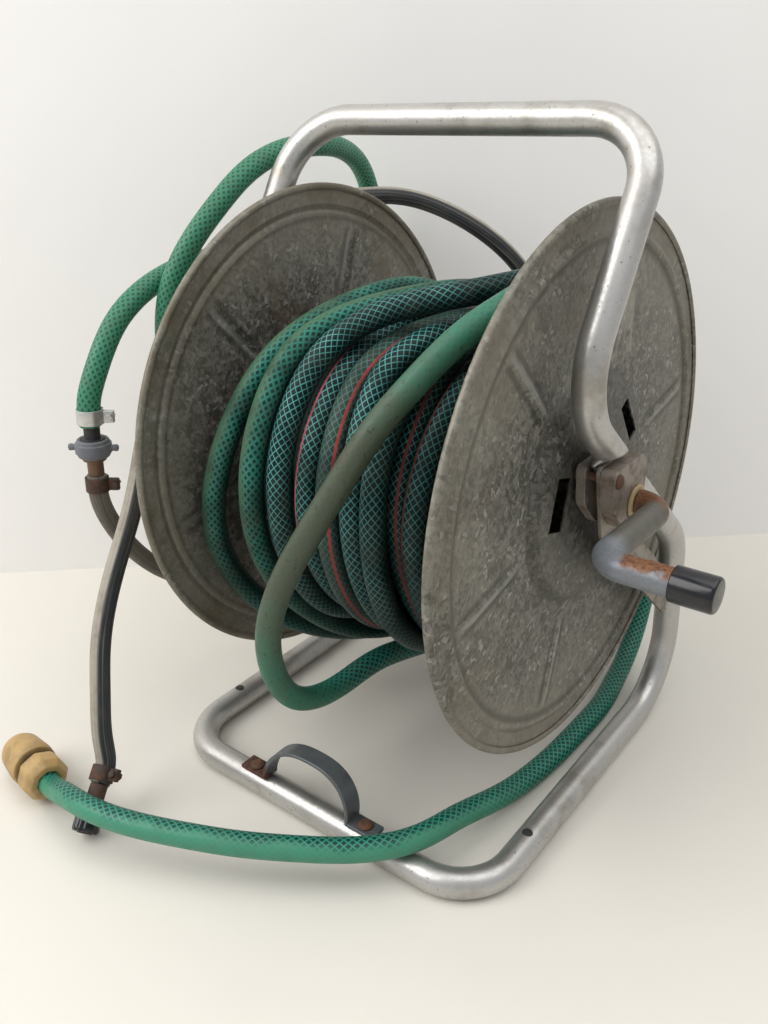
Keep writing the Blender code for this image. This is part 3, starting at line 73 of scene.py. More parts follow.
def aim(thing, right, upward, place):
    # A camera or a lamp looks against its third axis
    turned = Matrix(np.stack([right, upward, np.cross(right, upward)], axis=1).tolist()).to_4x4()
    turned.translation = toFrame(place).tolist()
    thing.matrix_world = turned


# Camera

view = {
    "azimuth": 38.82, "elevation": 25.41, "roll": -2.02, "place": (393.3, -564.9, 529.1),
    "focalPixels": 905.4, "highPixels": 1024, "sensor": 36,
}


def makeCamera():
    az, el, roll = (math.radians(view[key]) for key in ("azimuth", "elevation", "roll"))
    ahead = np.array([-math.sin(az) * math.cos(el), math.cos(az) * math.cos(el), -math.sin(el)])
    right = np.array([math.cos(az), math.sin(az), 0])
    upward = np.cross(right, ahead)
    data = bpy.data.cameras.new("photoCamera")
    data.sensor_width = view["sensor"]
    data.lens = view["focalPixels"] / view["highPixels"] * view["sensor"]
    data.clip_start = 0.01
    camera = addObject("photoCamera", data)
    cosine, sine = math.cos(roll), math.sin(roll)
    aim(camera, right * cosine + upward * sine, upward * cosine - right * sine, view["place"])
    bpy.context.scene.camera = camera
    print("camera ready")


# Materials

materials = {}


def newMaterial(name):
    made = bpy.data.materials.new(name)
    made.use_nodes = True
    materials[name] = made
    return made.node_tree.nodes["Principled BSDF"]


def give(entry, value):
    # A socket is linked to the input; a number, vector or colour is set on it
    if isinstance(value, bpy.types.NodeSocket):
        entry.id_data.links.new(value, entry)
    else:
        entry.default_value = (*value, 1) if entry.type == "RGBA" else value


def wire(near, kind, settings=None, **values):
    # One node in the tree of another node or socket. Settings are its properties, values are for its inputs.
    node = near.id_data.nodes.new("ShaderNode" + kind)
    for key, value in (settings or {}).items():
        setattr(node, key, value)
    for key, value in values.items():
        give(node.inputs[int(key[1:]) if key[1:].isdigit() else key], value)
    return node


def maths(operation, first, second=0.0):
    near = first if isinstance(first, bpy.types.NodeSocket) else second
    return wire(near, "Math", {"operation": operation}, i0=first, i1=second).outputs[0]


plus = functools.partial(maths, "ADD")
minus = functools.partial(maths, "SUBTRACT")


def times(*factors):
    return functools.reduce(functools.partial(maths, "MULTIPLY"), factors)


def most(*values):
    return functools.reduce(functools.partial(maths, "MAXIMUM"), values)


def fold(value, half=0.5):
    # A triangle wave: the distance to the nearest multiple of twice the half
    return maths("PINGPONG", value, half)


def sway(cloud, width):
    return times(minus(cloud, 0.5), width)


def ease(value, low, high, start=0.0, end=1.0):
    # A smooth step from start to end as the value goes from low to high
    settings = {"interpolation_type": "SMOOTHSTEP"}
    return wire(value, "MapRange", settings, i0=value, i1=low, i2=high, i3=start, i4=end).outputs[0]


def band(value, low, full, gone, ebb):
    # A smooth step up from low to full, times one that falls from ebb to gone
    return times(ease(value, low, full), ease(value, gone, ebb))


def blendColor(share, first, second):
    return wire(share, "Mix", {"data_type": "RGBA"}, i0=share, i6=first, i7=second).outputs[2]


def layered(base, *layers):
    # Colours laid over one another, each by its own share
    for share, color in layers:
        base = blendColor(share, base, color)
    return base


def darker(color, share):
    return tuple(value * share for value in color)


def coordinates(near, kind="Object", scale=None):
    source = wire(near, "TexCoord").outputs[kind]
    return source if scale is None else wire(near, "Mapping", Vector=source, Scale=scale).outputs[0]


def split(vector):
    return wire(vector, "SeparateXYZ", Vector=vector).outputs


def acrossAt(value):
    # A place along the axle, as Object coordinates have it
    return (value + originX) / 1000


def noise(vector, scale, detail=3.0, roughness=0.55):
    return wire(vector, "TexNoise", Vector=vector, Scale=scale, Detail=detail, Roughness=roughness).outputs[0]


def finish(shader, color, roughness, relief=None, metallic=0.0, shine=0.5):
    # Relief is a height, its strength and its distance
    values = {"Base Color": color, "Roughness": roughness, "Metallic": metallic, "Specular IOR Level": shine}
    for name, value in values.items():
        give(shader.inputs[name], value)
    if relief:
        height, strength, distance = relief
        bump = wire(shader, "Bump", Height=height, Strength=strength, Distance=distance)
        give(shader.inputs["Normal"], bump.outputs[0])


aluminiumLook = {
    "clean": (0.52, 0.51, 0.49), "stain": (0.25, 0.22, 0.17), "grain": (0.42, 0.41, 0.39), "pit": (0.16, 0.13, 0.1),
}


def makeAluminium():
    look = aluminiumLook
    shader = newMaterial("weatheredAluminium")
    place = coordinates(shader)
    grain = noise(coordinates(shader, scale=(90, 90, 90)), 5, 4, 0.65)
    base = layered(
        look["clean"],
        (ease(noise(place, 22, 5, 0.6), 0.5, 0.74, 0, 0.75), look["stain"]),
        (ease(grain, 0.35, 0.7, 0, 0.3), look["grain"]),
        (ease(noise(place, 420, 2, 0.5), 0.68, 0.74, 0, 0.8), look["pit"]),
    )
    finish(shader, base, ease(grain, 0.3, 0.75, 0.3, 0.5), (grain, 0.08, 0.001), 0.82)


# Distances are metres from the axle, and for ribSides and crest from the middle of a rib
# grime is the colour of the painted shade beside the ribs, the bead and the dish, and of the darker middle near the hub
zincLook = {
    "dark": (0.058, 0.057, 0.048), "middle": (0.235, 0.228, 0.195), "grime": (0.035, 0.034, 0.027),
    "chalk": (0.3, 0.28, 0.225), "fleck": (0.42, 0.42, 0.4), "dirt": (0.13, 0.1, 0.06), "label": (0.42, 0.39, 0.33),
    "crystals": (330.0, 120.0), "driftScale": 140, "drift": 0.008, "firstRib": 12, "ribStep": 60,
    "ribEnds": (0.096, 0.106, 0.175, 0.166), "ribSides": (0.0035, 0.0055, 0.011, 0.0065),
    "crest": (0.0028, 0.001, 0, 0.35), "beadSides": (0.172, 0.177, 0.181, 0.178),
    "dishSides": (0.073, 0.08, 0.092, 0.086), "hub": (0.1, 0.045, 0, 0.5), "outer": (0.1, 0.19, 0, 0.5),
    "rim": (0.15, 0.2), "labelMiddle": (0.035, 0.128), "labelEdges": ((0.026, 0.022), (0.04, 0.036)),
}


def makeZinc(name, dirtShare, withLabel):
    # Crystals are two cell patterns of unlike size. Painted shade lies beside the ribs and the bead and around the
    # dish, and the middle is darker towards the hub. Dirt lies towards the rim. Crests are rubbed, and the outer part
    # is chalky.
    look = zincLook
    shader = newMaterial(name)
    place = coordinates(shader)
    drift = wire(shader, "TexNoise", Vector=place, Scale=look["driftScale"]).outputs[1]
    drift = wire(shader, "VectorMath", {"operation": "SCALE"}, Vector=drift, Scale=look["drift"]).outputs[0]
    bent = wire(shader, "VectorMath", {"operation": "ADD"}, i0=place, i1=drift).outputs[0]
    cells = (wire(shader, "TexVoronoi", Vector=bent, Scale=scale).outputs[1] for scale in look["crystals"])
    small, large = (wire(shader, "SeparateColor", Color=cell).outputs[k] for k, cell in enumerate(cells))
    grain = ease(noise(coordinates(shader, scale=(1, 1, 0.4)), 700, 3, 0.7), 0.25, 0.75)
    mixed = plus(plus(times(small, 0.45), times(large, 0.25)), times(grain, 0.3))
    _, depth, height = split(place)
    height = minus(height, axleZ / 1000)
    radius = maths("SQRT", plus(times(depth, depth), times(height, height)))
    turned = minus(maths("ARCTAN2", height, depth), math.radians(look["firstRib"]))
    fromRib = times(fold(turned, math.radians(look["ribStep"]) / 2), radius)
    onRib = band(radius, *look["ribEnds"])
    # Lines where painted shade goes: both sides of each rib, the inner side of the bead and around the dish step
    lines = most(
        times(band(fromRib, *look["ribSides"]), onRib), band(radius, *look["beadSides"]),
        band(radius, *look["dishSides"]),
    )
    cloud = noise(place, 14, 5, 0.6)
    soiled = most(times(ease(radius, *look["rim"]), ease(cloud, 0.35, 0.65)), ease(cloud, 0.52, 0.7))
    base = layered(
        look["dark"],
        (ease(mixed, 0.15, 0.85), look["middle"]),
        (times(ease(small, 0.84, 0.95), ease(noise(place, 40), 0.42, 0.62), 0.6), look["fleck"]),
        (times(ease(radius, *look["outer"]), ease(noise(place, 9, 4, 0.6), 0.3, 0.6)), look["chalk"]),
        (times(ease(fromRib, *look["crest"]), onRib), look["fleck"]),
        # Painted shade on those lines, and the middle darker towards the hub
        (most(times(lines, 0.5), ease(radius, *look["hub"])), look["grime"]),
        (times(soiled, dirtShare), look["dirt"]),
    )
    if withLabel:
        # A faded patch where a label was
        away = [maths("ABSOLUTE", minus(value, at)) for value, at in zip((depth, height), look["labelMiddle"])]
        inside = (ease(value, *edges) for value, edges in zip(away, look["labelEdges"]))
        torn = times(*inside, ease(noise(place, 50, 5, 0.6), 0.3, 0.56), 0.5)
        base = blendColor(torn, base, look["label"])
    finish(shader, base, ease(mixed, 0.2, 0.9, 0.42, 0.62), (mixed, 0.12, 0.0006), 0.45)


braid = {"around": 11, "pitch": 0.0062, "dirt": (0.1, 0.085, 0.06)}
# Each look: the threads' colour, the cells between them, how far a thread reaches into its cell,
# and the side that is bleached pale, with the length along the hose from which it is
hoseLooks = {
    "outletHose": {
        "thread": (0.035, 0.25, 0.17), "cell": (0.003, 0.045, 0.036), "reach": (0.06, 0.22), "dirt": 0.15,
        "pale": (0.055, 0.25, 0.155), "bleach": 0.93, "side": 0.98, "width": 0.17, "from": (0.5, 0.62),
    },
    "leaderUpper": {
        "thread": (0.045, 0.22, 0.125), "cell": (0.01, 0.075, 0.045), "reach": (0.14, 0.33), "dirt": 0.2,
        "pale": (0.1, 0.28, 0.18), "bleach": 0.4, "side": 0.3, "width": 0.2,
    },
    "green": {
        "thread": (0.032, 0.2, 0.15), "cell": (0.003, 0.035, 0.028), "reach": (0.08, 0.3),
        "pale": (0.06, 0.13, 0.075), "bleach": 0.85, "side": 0.1, "width": 0.15,
    },
    "mesh": {"thread": (0.1, 0.34, 0.32), "cell": (0.003, 0.017, 0.017), "reach": (0.035, 0.12)},
}


def startHose(name, cloudScale=18):
    shader = newMaterial(name)
    place = coordinates(shader)
    around, along, _ = split(coordinates(shader, "UV"))
    # Distance from two crossing families of threads, 0 on a thread and 0.5 in the middle of a diamond
    turns, steps = times(around, braid["around"]), maths("DIVIDE", along, braid["pitch"])
    gap = maths("MINIMUM", fold(plus(turns, steps)), fold(minus(turns, steps)))
    return shader, place, noise(place, cloudScale, 4, 0.6), around, along, gap


def plainBraid(look, gap):
    # A braid seen through a clear skin
    return blendColor(ease(gap, *look["reach"]), look["thread"], look["cell"])


def bleachedBraid(look, cloud, around, along, gap):
    # The braid fades out on one side
    side = fold(minus(plus(around, sway(cloud, 0.35)), look["side"]))
    faded = ease(side, look["width"] * 1.25, look["width"] * 0.55, 0, look["bleach"])
    if "from" in look:
        faded = times(faded, ease(along, *look["from"]))
    return blendColor(faded, plainBraid(look, gap), look["pale"])


def finishHose(shader, base, cell, place, dirtShare, shine=0.32):
    grime = noise(place, 55, 6, 0.7)
    base = blendColor(times(ease(grime, 0.42, 0.72), dirtShare), base, braid["dirt"])
    relief = (plus(cell, times(grime, 0.5)), 0.12, 0.0004)
    finish(shader, base, ease(grime, 0.3, 0.7, 0.34, 0.55), relief, shine=shine)


def makeHose(name):
    look = hoseLooks[name]
    shader, place, *pattern = startHose(name + "Skin")
    finishHose(shader, bleachedBraid(look, *pattern), ease(pattern[-1], *look["reach"]), place, look["dirt"])


# Spans are turn numbers. A stripe has its span, its side of the hose and its colour.
windingLook = {
    "greenTurns": ((8.03, 9.98),), "dullTurns": ((1.0, 2.0), (6.05, 7.02)),
    "stripes": (
        (2.0, 3.0, 0.1, (0.3, 0.045, 0.045)), (3.0, 4.0, 0.93, (0.3, 0.05, 0.05)),
        (6.05, 7.02, 0.88, (0.42, 0.07, 0.07)), (7.02, 8.0, 0.08, (0.55, 0.14, 0.17)),
    ),
    "stripeEdge": (0.0252, 0.0144, 0, 0.95), "dull": (0.05, 0.075, 0.055), "shadow": (0.002, 0.007, 0.006),
}


def makeWindingSkin(lengthAt):
    # One wound hose with lengths of unlike braid. lengthAt gives the length along it at a turn number.
    look = windingLook
    shader, place, cloud, around, along, gap = startHose("windingSkin")

    def within(spans, blend):
        # 1 where the length along the hose is inside one of the spans
        ends = [(lengthAt(start), lengthAt(end)) for start, end in spans]
        return most(*(band(along, low - blend, low + blend, high + blend, high - blend) for low, high in ends))

    mesh = plainBraid(hoseLooks["mesh"], gap)
    mesh = blendColor(times(within(look["dullTurns"], 0.02), 0.62), mesh, look["dull"])
    wander = wire(shader, "TexNoise", {"noise_dimensions": "1D"}, W=along, Scale=2.3).outputs[0]
    wandered = plus(around, sway(wander, 0.16))
    for start, end, side, color in look["stripes"]:
        line = ease(fold(minus(wandered, side)), *look["stripeEdge"])
        mesh = blendColor(times(line, within([(start, end)], 0.004)), mesh, color)
    green = bleachedBraid(hoseLooks["green"], cloud, around, along, gap)
    # The mesh shows weaker in places. Painted shade darkens the grooves between turns, the underside and the side near
    # the right flange.
    across, _, height = split(place)
    clear = times(
        ease(fold(around), 0.1, 0.3, 1, 0.3), ease(height, 0.13, 0.33, 0.42, 1),
        ease(across, acrossAt(15), acrossAt(85), 1, 0.45), ease(noise(place, 26, 4, 0.6), 0.34, 0.6, 0.5, 1),
    )
    # The shadow colour is laid on as painted shade wherever the mask above is low
    base = layered(mesh, (within(look["greenTurns"], 0.015), green), (minus(1.0, clear), look["shadow"]))
    finishHose(shader, base, ease(gap, 0.05, 0.2), place, 0.2, 0.17)


looseLook = {"green": (0.035, 0.17, 0.105), "dusty": (0.062, 0.078, 0.05), "speck": (0.02, 0.014, 0.008), "drop": 0.13}


def makeLooseSkin(topAt, lowAt):
    # Green, then dusty, then green again; the braid shows at the top and on the return
    shader, place, cloud, _, along, gap = startHose("looseTurnSkin", 30)
    drift = plus(along, sway(cloud, 0.12))
    dusty = band(drift, topAt + 0.11, topAt + 0.21, lowAt - 0.06, lowAt - 0.17)
    skin = blendColor(dusty, looseLook["green"], looseLook["dusty"])
    covered = times(ease(drift, topAt, topAt + 0.16, 0.5, 0.97), ease(drift, lowAt + 0.03, lowAt - 0.04))
    speck = ease(noise(coordinates(shader, scale=(1, 1, 0.5)), 380, 3, 0.6), 0.6, 0.68, 0, 0.55)
    look = hoseLooks["green"]
    base = layered(plainBraid(look, gap), (covered, skin), (speck, looseLook["speck"]))
    finishHose(shader, base, ease(gap, *look["reach"]), place, 0.3)


def makeRibbed(name, dark, light, share):
    # Light and dark lengthwise bands between the ribs
    shader = newMaterial(name)
    cloud = noise(coordinates(shader, "UV", (26, 6, 1)), 1.0, 4, 0.6)
    around = split(coordinates(shader, "UV"))[0]
    edge = plus(fold(minus(around, 0.12)), sway(cloud, 0.06))
    worn = plus(times(ease(edge, 0.3, 0.35), share), ease(cloud, 0.5, 0.72, 0, 0.45))
    grime = noise(coordinates(shader), 60, 5, 0.65)
    base = layered(dark, (worn, light), (ease(grime, 0.45, 0.75, 0, 0.4), (0.09, 0.07, 0.05)))
    finish(shader, base, ease(grime, 0.3, 0.7, 0.42, 0.65), (grime, 0.15, 0.0004))


# Slot, colour, roughness, metal, colour and share of the stains, their scale, and how pitted the surface is
plainLooks = {
    "castBracket": ("cast_metal", (0.27, 0.235, 0.2), 0.42, 0.45, (0.11, 0.06, 0.035), 0.6, 90, 0.1),
    "rustedSteel": ("rusty_steel", (0.1, 0.055, 0.035), 0.7, 0.2, (0.2, 0.075, 0.03), 0.7, 160, 0.5),
    "darkRustedSteel": ("rusty_steel", (0.055, 0.035, 0.027), 0.6, 0.3, (0.13, 0.055, 0.03), 0.7, 140, 0.5),
    "clampSteel": ("bright_steel", (0.6, 0.6, 0.58), 0.3, 0.9, (0.3, 0.29, 0.26), 0.4, 120, 0.1),
    "axleSteel": (None, (0.32, 0.28, 0.23), 0.4, 0.8, (0.14, 0.07, 0.035), 0.6, 90, 0.1),
    "agedNylon": ("nylon", (0.5, 0.4, 0.22), 0.45, 0.0, (0.28, 0.19, 0.09), 0.6, 120, 0.1),
    "blackPlastic": ("black_plastic", (0.006, 0.007, 0.01), 0.14, 0.0, (0.02, 0.019, 0.018), 0.3, 80, 0.03),
    "dullBlackPlastic": ("black_plastic", (0.018, 0.018, 0.018), 0.5, 0.0, (0.05, 0.04, 0.03), 0.5, 80, 0.1),
    "tanPlastic": ("tan_plastic", (0.46, 0.3, 0.115), 0.42, 0.0, (0.22, 0.15, 0.07), 0.55, 55, 0.05),
    "greyPlastic": ("grey_plastic", (0.12, 0.13, 0.15), 0.45, 0.0, (0.2, 0.19, 0.17), 0.4, 90, 0.1),
    "brownBrass": ("rusty_steel", (0.15, 0.085, 0.05), 0.5, 0.35, (0.07, 0.04, 0.028), 0.6, 120, 0.3),
    # innerTurns is nearly black: painted shade for the layer seen in the gaps between the outer turns
    "innerTurns": ("green_hose", (0.004, 0.013, 0.011), 0.6, 0.0, (0.015, 0.014, 0.01), 0.5, 60, 0.1),
}


def makePlain(name, slot, color, roughness, metallic, stain, stainShare, scale, pits):
    # One colour with cloudy stains, fine grain and uneven gloss
    shader = newMaterial(name)
    place = coordinates(shader)
    cloud, grain = noise(place, scale, 5, 0.62), noise(place, scale * 14, 3, 0.6)
    grained = (ease(grain, 0.3, 0.7, 0, 0.25), darker(color, 0.72))
    base = layered(color, grained, (ease(cloud, 0.46, 0.66, 0, stainShare), stain))
    finish(shader, base, ease(cloud, 0.3, 0.7, roughness, roughness + 0.15), (grain, pits, 0.0005), metallic)


def makeCrankPaint():
    # Grey paint, rubbed to bare metal on the arm, with rust at the hub elbow and along the top of the grip
    shader = newMaterial("crankPaint")
    place = coordinates(shader)
    across, depth, height = split(place)
    cloud, fine = noise(place, 75, 5, 0.65), noise(place, 420, 3, 0.6)
    onGrip = times(
        ease(across, acrossAt(201), acrossAt(207)), ease(height, 0.2605, 0.264), ease(depth, -0.088, -0.094),
    )
    rust = times(most(ease(depth, -0.02, -0.006), onGrip), ease(cloud, 0.34, 0.5))
    base = layered(
        (0.2, 0.215, 0.235),
        (ease(fine, 0.35, 0.7, 0, 0.4), (0.12, 0.13, 0.145)),
        (ease(depth, -0.086, -0.07), (0.115, 0.11, 0.092)),
        (rust, blendColor(ease(fine, 0.35, 0.65), (0.24, 0.1, 0.04), (0.1, 0.042, 0.02))),
    )
    finish(shader, base, ease(cloud, 0.3, 0.7, 0.35, 0.6), (plus(fine, rust), 0.15, 0.0005), 0.25)


def makeHoopPaint():
    # Grey paint with a rusted left foot
    shader = newMaterial("hoopPaint")
    place = coordinates(shader)
    cloud, fine = noise(place, 90, 5, 0.65), noise(place, 500, 3, 0.6)
    rust = ease(plus(split(place)[0], sway(cloud, 0.03)), acrossAt(-42), acrossAt(-48))
    base = layered(
        (0.095, 0.11, 0.12),
        (ease(cloud, 0.4, 0.7, 0, 0.6), (0.15, 0.145, 0.13)),
        (rust, blendColor(ease(fine, 0.35, 0.65), (0.13, 0.055, 0.035), (0.05, 0.022, 0.015))),
    )
    finish(shader, base, ease(plus(cloud, rust), 0.3, 1.2, 0.38, 0.7), (plus(fine, rust), 0.2, 0.0005), 0.3)


def makePale(name, color, roughness):
    # Floor or wall, a little warm, with faint marks
    shader = newMaterial(name)
    marks = ease(noise(coordinates(shader), 3, 4, 0.6), 0.35, 0.7, 0, 0.35)
    finish(shader, blendColor(marks, color, darker(color, 0.93)), roughness, shine=0.3)


makeAluminium()
makeZinc("zincSheetRight", 0.35, True)
makeZinc("zincSheetLeft", 0.75, False)
for name, look in plainLooks.items():
    makePlain(name, *look)
makeHoopPaint()
makeRibbed("ribbedTapHose", (0.014, 0.018, 0.022), (0.36, 0.33, 0.27), 0.9)
makeRibbed("ribbedInletHose", (0.1, 0.085, 0.068), (0.19, 0.165, 0.13), 0.7)
makeCrankPaint()
makeHose("outletHose")
makeHose("leaderUpper")
makePale("paleFloor", (0.735, 0.705, 0.64), 0.5)
makePale("paleWall", (0.9, 0.885, 0.865), 0.8)
print("materials ready")


# Surfaces


def reshape(mesh, change):
    # Changes a mesh in its editable form
    shape = bmesh.new()
    shape.from_mesh(mesh)
    change(shape)
    shape.to_mesh(mesh)
    shape.free()


def mergeDoubles(shape):
    bmesh.ops.remove_doubles(shape, verts=shape.verts, dist=2e-6)


def closeUp(shape):
    mergeDoubles(shape)
    bmesh.ops.dissolve_degenerate(shape, edges=shape.edges, dist=1e-7)
    bmesh.ops.recalc_face_normals(shape, faces=shape.faces)


def smooth(mesh, degrees):
    mesh.shade_smooth()
    mesh.set_sharp_from_angle(angle=math.radians(degrees))


def gridMesh(name, grid, material, uv=None, closedAround=False, smoothAngle=40):
    # A grid of points (rows, columns) in millimetres becomes quads. Doubles along seams and poles are merged.
    rows, columns = grid.shape[:2]
    index = np.arange(rows * columns).reshape(rows, columns)
    if closedAround:
        index = np.concatenate([index, index[:, :1]], axis=1)
    quads = np.stack([index[:-1, :-1], index[:-1, 1:], index[1:, 1:], index[1:, :-1]], axis=-1).reshape(-1, 4)
    mesh = bpy.data.meshes.new(name)
    mesh.from_pydata(toFrame(grid.reshape(-1, 3)).tolist(), [], quads.tolist())
    if uv is not None:
        layer = mesh.uv_layers.new(name="surface")
        corners = np.empty(len(mesh.loops), int)
        mesh.loops.foreach_get("vertex_index", corners)
        layer.data.foreach_set("uv", uv.reshape(-1, 2)[corners].ravel())
    reshape(mesh, closeUp)
    smooth(mesh, smoothAngle)
    mesh.materials.append(materials[material])
    return addObject(name, mesh)


def put(piece, body, node=None):
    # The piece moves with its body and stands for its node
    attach(piece, body)
    if node:
        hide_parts(node)


def carried(tangents, normal):
    # Normals carried from point to point with the least turn, and the directions across them
    normals = []
    for tangent in tangents:
        normal = unit(normal - tangent * normal.dot(tangent))
        normals.append(normal)
    return np.array(normals), np.cross(tangents, normals)


def rings(normals, binormals, angle):
    return normals[:, None] * np.cos(angle)[:, None] + binormals[:, None] * np.sin(angle)[:, None]


def walked(path):
    # The length along a path at each of its points
    return np.concatenate([[0], np.cumsum(np.linalg.norm(np.diff(path, axis=0), axis=1))])


def sweep(name, path, radius, material, sides=28, profile=None, trim=0, wound=False):
    # A round section carried along a path: centre + radius * profile(angle) * (normal cos + side sin).
    # Both ends are flat with an eased edge. A wound path's normals point away from the axle.
    path = np.array(path, float)
    tangents = np.gradient(path, axis=0)
    tangents /= np.linalg.norm(tangents, axis=1)[:, None]
    if wound:
        normals = (path - [0, 0, axleZ]) * [0, 1, 1]
        normals -= tangents * (normals * tangents).sum(axis=1)[:, None]
        normals /= np.linalg.norm(normals, axis=1)[:, None]
        binormals = np.cross(tangents, normals)
    else:
        level = up if abs(tangents[0][2]) < 0.9 else [1, 0, 0]
        normals, binormals = carried(tangents, np.cross(tangents[0], level))
    angle = np.linspace(0, math.tau, sides + 1)
    reach = radius * (np.ones(sides + 1) if profile is None else profile(angle))
    section = rings(normals, binormals, angle)
    grid = path[:, None] + section * reach[:, None]
    uv = np.stack(np.broadcast_arrays(angle / math.tau, (walked(path) / 1000)[:, None]), axis=-1)
    edge = 0.08 * radius
    rims = [path[at] + section[at] * (reach - edge)[:, None] for at in (0, -1)]
    middles = [np.repeat(path[at][None], sides + 1, axis=0) for at in (0, -1)]
    grid[0] += tangents[0] * edge
    grid[-1] -= tangents[-1] * edge
    grid = np.stack([middles[0], rims[0], *grid, rims[1], middles[1]])
    uv = np.concatenate([uv[:1], uv[:1], uv, uv[-1:], uv[-1:]])
    if trim:
        grid = trimmed(grid, trim)
    return gridMesh(name, grid, material, uv, smoothAngle=60)


def roundOutline(outline, radius, closed):
    # Each corner of the outline becomes a short arc of four points
    points = np.array(outline, float)
    count = len(points)
    made = []
    for i, corner in enumerate(points):
        if not closed and i in (0, count - 1):
            made.append(corner)
            continue
        before, after = points[i - 1] - corner, points[(i + 1) % count] - corner
        reach = min(radius, 0.42 * np.linalg.norm(before), 0.42 * np.linalg.norm(after))
        start, end = corner + unit(before) * reach, corner + unit(after) * reach
        for share in (0, 0.33, 0.67, 1):
            made.append((1 - share) ** 2 * start + 2 * share * (1 - share) * corner + share**2 * end)
    return np.array(made)


def revolve(name, outline, centre, direction, material, sides=48, rounding=0.6, reach=None):
    # An outline of (height, radius) turned about a direction, with its corners eased.
    # An outline that starts away from the middle is a closed ring.
    closed = outline[0][1] > 0
    outline = roundOutline(outline, rounding, closed)
    if closed:
        outline = np.concatenate([outline, outline[:1]])
    out = unit(direction)
    first = unit(np.cross(out, up if abs(out[2]) < 0.9 else [1, 0, 0]))
    angle = np.linspace(0, math.tau, sides, endpoint=False)
    scale = np.ones(sides) if reach is None else reach(angle)
    around = rings(first[None], np.cross(out, first)[None], angle)
    radii = outline[:, 1][:, None] * scale
    grid = np.array(centre) + out * outline[:, 0][:, None, None] + around * radii[..., None]
    return gridMesh(name, grid, material, closedAround=True)


def turned(name, node, outline, centre, direction, material, body="stand", slot=None, **shape):
    # A turned piece that stands for a node
    put(revolve(name, outline, centre, direction, material, **shape), body, node)


def bevel(piece, width, segments, degrees):
    edge = piece.modifiers.new("Bevel", "BEVEL")
    edge.width = width / 1000
    edge.segments = segments
    edge.limit_method = "ANGLE"
    edge.angle_limit = math.radians(degrees)


def easedCasting(node, width, segments=2):
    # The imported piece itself, merged, with eased edges
    def simplify(shape):
        mergeDoubles(shape)
        bmesh.ops.dissolve_limit(shape, angle_limit=math.radians(1), verts=shape.verts, edges=shape.edges)

    mesh = frame["nodes"][node].data.copy()
    reshape(mesh, simplify)
    mesh.materials.clear()
    mesh.materials.append(materials["castBracket"])
    made = addObject(node + "Eased", mesh)
    bevel(made, width, segments, 40)
    smooth(mesh, 35)
    put(made, "stand", node)


def join(name, pieces):
    # Several meshes of one piece become one object
    mesh = pieces[0].data.copy()
    reshape(mesh, lambda shape: [shape.from_mesh(piece.data) for piece in pieces[1:]])
    for piece in pieces:
        bpy.data.objects.remove(piece, do_unlink=True)
    return addObject(name, mesh)


# Cords


def evenly(path, count):
    # The path read at even steps
    length = walked(path)
    marks = np.linspace(0, length[-1], count)
    return np.stack([np.interp(marks, length, path[:, k]) for k in range(3)], axis=1)


def smoothRoute(points, step):
    # A natural cubic through the points over the root of the chord, read at even steps
    route = np.array(points, float)
    knots = np.concatenate([[0], np.cumsum(np.sqrt(np.linalg.norm(np.diff(route, axis=0), axis=1)))])
    count = len(route)
    gaps = np.diff(knots)
    system = np.eye(count)
    right = np.zeros((count, 3))
    inner = np.arange(1, count - 1)
    system[inner, inner - 1] = gaps[:-1]
    system[inner, inner] = 2 * (gaps[:-1] + gaps[1:])
    system[inner, inner + 1] = gaps[1:]
    right[inner] = 6 * np.diff(np.diff(route, axis=0) / gaps[:, None], axis=0)
    bend = np.linalg.solve(system, right)
    at = np.linspace(0, knots[-1], 4000)
    span = np.clip(np.searchsorted(knots, at, side="right") - 1, 0, count - 2)
    width = gaps[span][:, None]
    before = (knots[span + 1] - at)[:, None] / width
    after = (at - knots[span])[:, None] / width
    fine = before * route[span] + after * route[span + 1]
    fine += ((before**3 - before) * bend[span] + (after**3 - after) * bend[span + 1]) * width**2 / 6
    return evenly(fine, max(4, round(walked(fine)[-1] / step) + 1))


def squaredEnd(points, tip, direction, diameter):
    # The last stretch, one diameter long, is straight and meets its fitting squarely
    tip = np.array(tip, float)
    kept = list(points)
    while np.linalg.norm(tip - kept[-1]) < 1.8 * diameter:
        kept.pop()
    return kept + [tip - unit(direction) * diameter, tip]


def cordPoints(route, diameter, first, last):
    # The points that the solid's route has
    points = squaredEnd(smoothRoute(route, 2.3 * diameter), *last, diameter)
    return np.array(squaredEnd(points[::-1], *first, diameter)[::-1])


def aroundAxle(across, radius, angle):
    points = np.broadcast_arrays(across, radius * np.cos(angle), axleZ + radius * np.sin(angle))
    return np.stack(points, axis=-1)


def polar(radius, degrees, across):
    return aroundAxle(across, radius, math.radians(degrees))


hose = {
    "diameter": 18.5, "ribbedDiameter": 16.0, "edge": 117.6, "turnPoints": 24,
    "jointRadius": 182.5, "jointAngle": 13, "jointAcross": 107, "jointGap": 0.3, "jointReach": 34, "overrun": 13,
}
settle = {"steps": 500, "parts": 3, "turnGap": 1.6, "rate": 0.35, "slack": 2}
